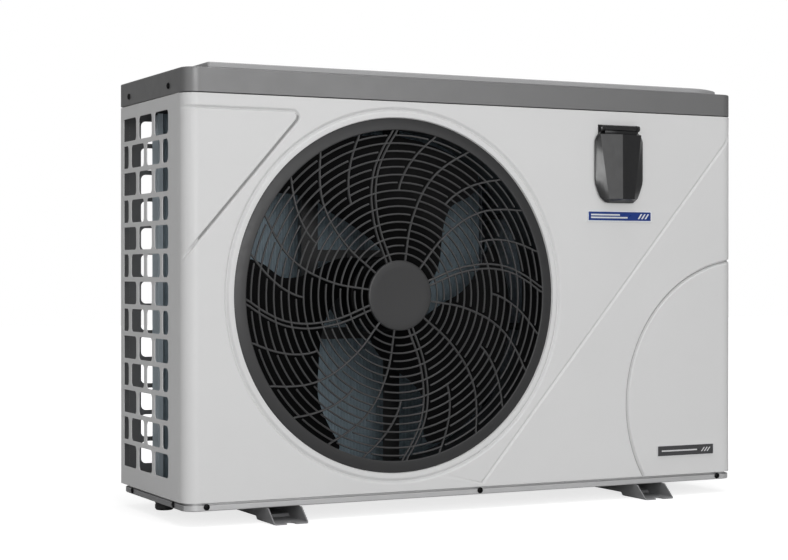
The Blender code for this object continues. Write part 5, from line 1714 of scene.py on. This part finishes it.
# -------------------------------------------------------------------- badges
def badge(node, name, mats, slot, bars):
    """A plate with a raised light border and plain printed bars (x0, x1, z0,
    z1 as shares of the plate, the last number slants the bar)."""
    lo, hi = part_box(node)
    x0, x1 = (lo.x - X0) / MM, (hi.x - X0) / MM
    z0, z1 = (lo.z - Z0) / MM - 1.4, (hi.z - Z0) / MM + 1.4
    yf, yb = (lo.y - Y0) / MM, (hi.y - Y0) / MM
    b = Build()
    rim = 1.5
    v, f = sheet(on_front(yf), rrect(x0, x1, z0, z1, 1.8, 4), [rrect(x0 + rim, x1 - rim, z0 + rim, z1 - rim, 0.9, 4)], (), t=yb - yf, b=0.22, n=2)
    b.add(v, f, 1)
    v, f = sheet(on_front(yf + 0.24), rrect(x0 + rim + 0.02, x1 - rim - 0.02, z0 + rim + 0.02, z1 - rim - 0.02, 0.9, 4), (), (), t=yb - yf - 0.26,
                 b=0.1, n=2)
    b.add(v, f, 0)
    w, h = x1 - x0, z1 - z0
    for a0, a1, c0, c1, lean in bars:
        ua, ub, va, vb = x0 + a0 * w, x0 + a1 * w, z0 + c0 * h, z0 + c1 * h
        loop = [(ua, va), (ub, va), (ub + lean * h, vb), (ua + lean * h, vb)]
        v, f = sheet(on_front(yf + 0.14), fillet(loop, 0.25, 2), (), (), t=0.3, b=0.06, n=1)
        b.add(v, f, 2)
    b.piece(name, mats, rep=node, slot=slot, sharp=40.0)


UPPER_BARS = [(0.05, 0.62, 0.30, 0.44, 0.0), (0.05, 0.50, 0.56, 0.70, 0.0)] + [(0.78 + 0.055 * k, 0.805 + 0.055 * k, 0.26, 0.74, 0.35) for k in range(3)]
LOWER_BARS = [(0.08, 0.70, 0.44, 0.56, 0.0)] + [(0.77 + 0.05 * k, 0.79 + 0.05 * k, 0.32, 0.68, 0.3) for k in range(3)]
badge("badge_upper", "badge_upper_plate", [M["badge_blue"], M["badge_rim"], M["mark"]], "badge_blue", UPPER_BARS)
badge("badge_lower", "badge_lower_plate", [M["badge_dark"], M["badge_rim_grey"], M["badge_rim_grey"]], "badge_dark", LOWER_BARS)


# ---------------------------------------------------------- water connections
def unions():
    for side, z, nut_body, tail_body in (("inlet", Z_IN, "inlet_nut", "inlet_tailpiece"), ("outlet", Z_OUT, "outlet_nut", "outlet_tailpiece")):
        nlo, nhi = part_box(side + "_union_nut")
        x0, x1 = (nlo.x - X0) / MM, (nhi.x - X0) / MM

        def ribs(r, h, a):
            if r < 39.0 or h < x0 + 2.0 or h > x1 - 2.5:
                return r
            # twelve finger ribs, with flat lands between them
            w = (a * 12 / (2 * math.pi)) % 1.0
            bump = max(0.0, math.cos((w - 0.5) * 2 * math.pi)) ** 0.6
            return r - 3.2 * (1 - bump) if r > 41 else r

        prof = [(36.4, x0 + 0.3), (36.8, x0), (39.6, x0), (40.4, x0 + 0.5), (40.6, x0 + 1.4), (43.0, x0 + 2.6), (43.0, x0 + 6.0), (43.0, x0 + 12.0),
                (43.0, x1 - 4.0), (42.2, x1 - 2.6), (38.6, x1 - 0.6), (37.6, x1), (31.4, x1), (30.9, x1 - 0.5), (30.9, x1 - 6.0), (36.3, x1 - 6.2)]
        b = Build()
        b.add(*turn((0.0, WATER_Y, z), "x", prof, 144, ribs))
        b.piece(side + "_nut_ribbed", M["pvc"], body=nut_body, rep=side + "_union_nut", slot="pvc_grey", sharp=35.0)
        tlo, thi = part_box("water_" + side + "_tailpiece")
        t0, t1 = (tlo.x - X0) / MM, (thi.x - X0) / MM
        prof = [(22.0, t0 + 0.3), (22.4, t0), (34.0, t0), (34.5, t0 + 0.5), (34.5, t0 + 4.6), (34.1, t0 + 5.0), (30.6, t0 + 5.0), (30.0, t0 + 5.8),
                (30.0, t1 - 8.0), (30.6, t1 - 7.4), (30.6, t1 - 1.2), (29.6, t1), (26.0, t1), (25.2, t1 - 0.8), (25.2, t0 + 13.6), (24.6, t0 + 13.2),
                (22.0, t0 + 13.0)]
        prof = [(min(r, 34.5), h) for r, h in prof]
        b = Build()
        b.add(*turn((0.0, WATER_Y, z), "x", prof, 96))
        b.piece(side + "_tail_tube", M["pvc_light"], body=tail_body, rep="water_" + side + "_tailpiece", slot="pvc_grey", sharp=35.0)


unions()


def gland():
    z, y = 470.0, 120.0
    b = Build()

    def hexed(r, h, a):
        if r < 12.5 or not (954.9 < h < 959.7):
            return r
        w = ((a + math.pi / 6) % (math.pi / 3)) - math.pi / 6
        return min(r, 11.4 / math.cos(w))

    prof = [(5.0, 940.2), (7.2, 940.0), (8.0, 940.8), (8.0, 953.9), (8.2, 954.4), (12.4, 954.4), (13.0, 955.0), (13.0, 959.4), (12.4, 960.0),
            (11.0, 960.2), (11.0, 963.0), (10.6, 963.3), (11.0, 963.6), (11.0, 970.2), (10.2, 971.4), (8.4, 974.6), (6.6, 976.6), (5.6, 977.0), (5.0, 976.6)]
    b.add(*turn((0.0, y, z), "x", prof, 96, hexed))
    b.piece("gland_body", M["gland"], rep="cable_gland", slot="rubber", sharp=30.0)


gland()


# ------------------------------------------------ the remaining CAD materials
FINISH = {
    "accumulator": ("cast", 0), "coil_end_plate_left": ("end_plate", 0), "coil_end_plate_right": ("zinc", 0), "coil_gas_pipe": ("rubber", 0),
    "compressor": ("cast", 0), "compressor_grommet_1": ("rubber", 0), "compressor_grommet_2": ("rubber", 0), "compressor_grommet_3": ("rubber", 0),
    "control_board": ("board", 0), "discharge_pipe": ("copper", 0), "electric_box": ("zinc", 0.4), "electric_box_cover": ("zinc", 0.3),
    "fan_motor": ("motor", 0.8), "fan_nut": ("zinc", 0.4), "four_way_valve": ("brass", 0.3), "heat_exchanger_shell": ("duct", 0),
    "hot_gas_pipe": ("copper", 0), "inlet_union_seal": ("rubber", 0), "outlet_union_seal": ("rubber", 0), "liquid_line": ("rubber", 0),
    "motor_bracket": ("black_metal", 0.3), "motor_shaft": ("steel", 0.3), "partition_plate": ("zinc", 0), "suction_pipe": ("copper", 0),
    "titanium_coil": ("titanium", 0), "controller_housing": ("housing", 0.3),
}
DEFAULT = {"casing_grey": "casing", "band_grey": "band", "lid_grey": "lid", "pan_grey": "pan", "rail_grey": "rail", "grille_grey": "grille",
           "fan_black": "fan", "black_metal": "black_metal", "cast_black": "cast", "controller_black": "housing", "coil_blue": "fin",
           "zinc": "zinc", "steel": "steel", "copper": "copper", "brass": "brass", "pvc_grey": "pvc", "rubber": "rubber", "titanium": "titanium",
           "board_green": "board", "display_glass": "display", "button_grey": "button", "badge_blue": "badge_blue", "badge_dark": "badge_dark",
           "screw_black": "screw"}
ALL_BY_NODE = {
    "front_panel": "casing", "left_side_panel": "casing", "right_side_panel": "casing", "rear_panel": "casing", "top_trim": "band",
    "top_lid": "lid", "base_pan": "pan", "foot_rail_left": "rail", "foot_rail_right": "rail", "fan_grille": "grille", "fan_rotor": "fan",
    "fan_orifice": "duct", "evaporator_coil": "fin", "drain_spout": "duct", "controller_flap": "flap", "flap_hinge_pin": "steel",
    "controller_display": "display", "badge_upper": "badge_blue", "badge_lower": "badge_dark", "cable_gland": "gland",
    "inlet_union_nut": "pvc", "outlet_union_nut": "pvc", "water_inlet_tailpiece": "pvc_light", "water_outlet_tailpiece": "pvc_light",
}


def finish_cad():
    for node in sorted(NODES):
        obj = bpy.data.objects.get(node)
        if obj is None or obj.type != "MESH":
            continue
        key, bevel = FINISH.get(node, (ALL_BY_NODE.get(node), 0))
        if key is None:
            key = "button" if "button" in node else "screw" if "screw" in node else "zinc"
        if not obj.material_slots:
            obj.data.materials.append(M[key])
        for s in obj.material_slots:
            s.material = M[key]
        if node in FINISH:
            if bevel:
                mod = obj.modifiers.new("edge", "BEVEL")
                mod.width = bevel * MM
                mod.segments = 2
                mod.limit_method = "ANGLE"
                mod.angle_limit = math.radians(40)
                mod.use_clamp_overlap = True


finish_cad()


# ---------------------------------------------------- camera, floor and light
scene = bpy.context.scene
CAM_AZ, CAM_EL = math.radians(26.52), math.radians(-0.278)
cam = bpy.data.objects.new("photo_camera", bpy.data.cameras.new("photo_camera"))
scene.collection.objects.link(cam)
cam.data.lens = 82.17
cam.data.sensor_width = 36.0
cam.data.clip_start = 0.05
cam.data.clip_end = 60.0
cam.location = W(-867.5, -2398.2, 329.7)
look = Vector((math.sin(CAM_AZ) * math.cos(CAM_EL), math.cos(CAM_AZ) * math.cos(CAM_EL), math.sin(CAM_EL)))
cam.rotation_euler = look.to_track_quat("-Z", "Y").to_euler()
scene.camera = cam
CENTRE = W(CASE_W / 2, CASE_D / 2, 300.0)
FLOOR_Z = (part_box("foot_rail_left")[0].z)


def floor():
    mesh = bpy.data.meshes.new("studio_floor")
    size, n = 9.0, 24
    verts, faces = [], []
    for i in range(n + 1):
        for j in range(n + 1):
            verts.append((CENTRE.x - size + 2 * size * i / n, CENTRE.y - size + 2 * size * j / n, FLOOR_Z - 0.0004))
    for i in range(n):
        for j in range(n):
            a = i * (n + 1) + j
            faces.append((a, a + n + 1, a + n + 2, a + 1))
    mesh.from_pydata(verts, [], faces)
    obj = bpy.data.objects.new("studio_floor", mesh)
    scene.collection.objects.link(obj)
    m = Mat("studio_floor_paper", (0.52, 0.52, 0.52), 0.85, spec=0.2)
    m.vary(0.004, 3.0)
    path = m.nt.nodes.new("ShaderNodeLightPath")
    dist = m.nt.nodes.new("ShaderNodeVectorMath")
    dist.operation = "DISTANCE"
    m.link(m.coord, dist.inputs[0])
    dist.inputs[1].default_value = (CENTRE.x, CENTRE.y, FLOOR_Z)
    glow = m.math("MULTIPLY", path.outputs["Is Camera Ray"], m.span(dist.outputs["Value"], FLOOR_GLOW, 1.0, 0.5, 1.6))
    m.link(glow, m.bsdf.inputs["Emission Strength"])
    m.bsdf.inputs["Emission Color"].default_value = (1.0, 1.0, 1.0, 1.0)
    mesh.materials.append(m.mat)


FLOOR_GLOW = 0.76
floor()


def world(camera_level, light_level):
    w = bpy.data.worlds.new("studio")
    scene.world = w
    w.use_nodes = True
    nt = w.node_tree
    bg = nt.nodes["Background"]
    bg.inputs["Color"].default_value = (1.0, 1.0, 1.0, 1.0)
    path = nt.nodes.new("ShaderNodeLightPath")
    mr = nt.nodes.new("ShaderNodeMapRange")
    mr.inputs["To Min"].default_value = light_level
    mr.inputs["To Max"].default_value = camera_level
    nt.links.new(path.outputs["Is Camera Ray"], mr.inputs["Value"])
    nt.links.new(mr.outputs["Result"], bg.inputs["Strength"])


def softbox(name, azimuth, elevation, distance, width, height, power):
    """An area light aimed at the unit; azimuth 0 is straight in front,
    positive is to the right."""
    a, e = math.radians(azimuth), math.radians(elevation)
    data = bpy.data.lights.new(name, "AREA")
    data.shape = "RECTANGLE"
    data.size, data.size_y = width, height
    data.energy = power
    obj = bpy.data.objects.new(name, data)
    scene.collection.objects.link(obj)
    d = Vector((math.sin(a) * math.cos(e), -math.cos(a) * math.cos(e), math.sin(e)))
    obj.location = CENTRE + d * distance
    obj.rotation_euler = (-d).to_track_quat("-Z", "Y").to_euler()
    return obj


world(1.0, 0.285)
softbox("key_softbox", -13.0, 9.0, 4.2, 1.4, 1.5, 33.0)
softbox("side_softbox", -29.0, 5.0, 4.2, 2.6, 2.2, 14.0)
softbox("left_softbox", -66.0, 15.0, 4.2, 2.6, 2.2, 12.0)
softbox("front_softbox", 12.0, 11.0, 4.0, 2.2, 1.7, 17.0)
softbox("high_softbox", -4.0, 45.0, 3.6, 1.6, 1.4, 12.0)
softbox("top_softbox", 0.0, 82.0, 3.2, 2.4, 1.6, 38.0)
inner = bpy.data.objects.new("inner_fill", bpy.data.lights.new("inner_fill", "AREA"))
inner.data.shape = "RECTANGLE"
inner.data.size, inner.data.size_y = 0.05, 0.50
inner.data.energy = 0.04
inner.location = W(34.0, 60.0, 300.0)
inner.rotation_euler = Vector((0.10, 1.0, 0.0)).to_track_quat("-Z", "Y").to_euler()
inner.visible_camera = False
scene.collection.objects.link(inner)
scene.view_settings.view_transform = "Standard"
scene.view_settings.look = "None"
scene.view_settings.exposure = 0.0
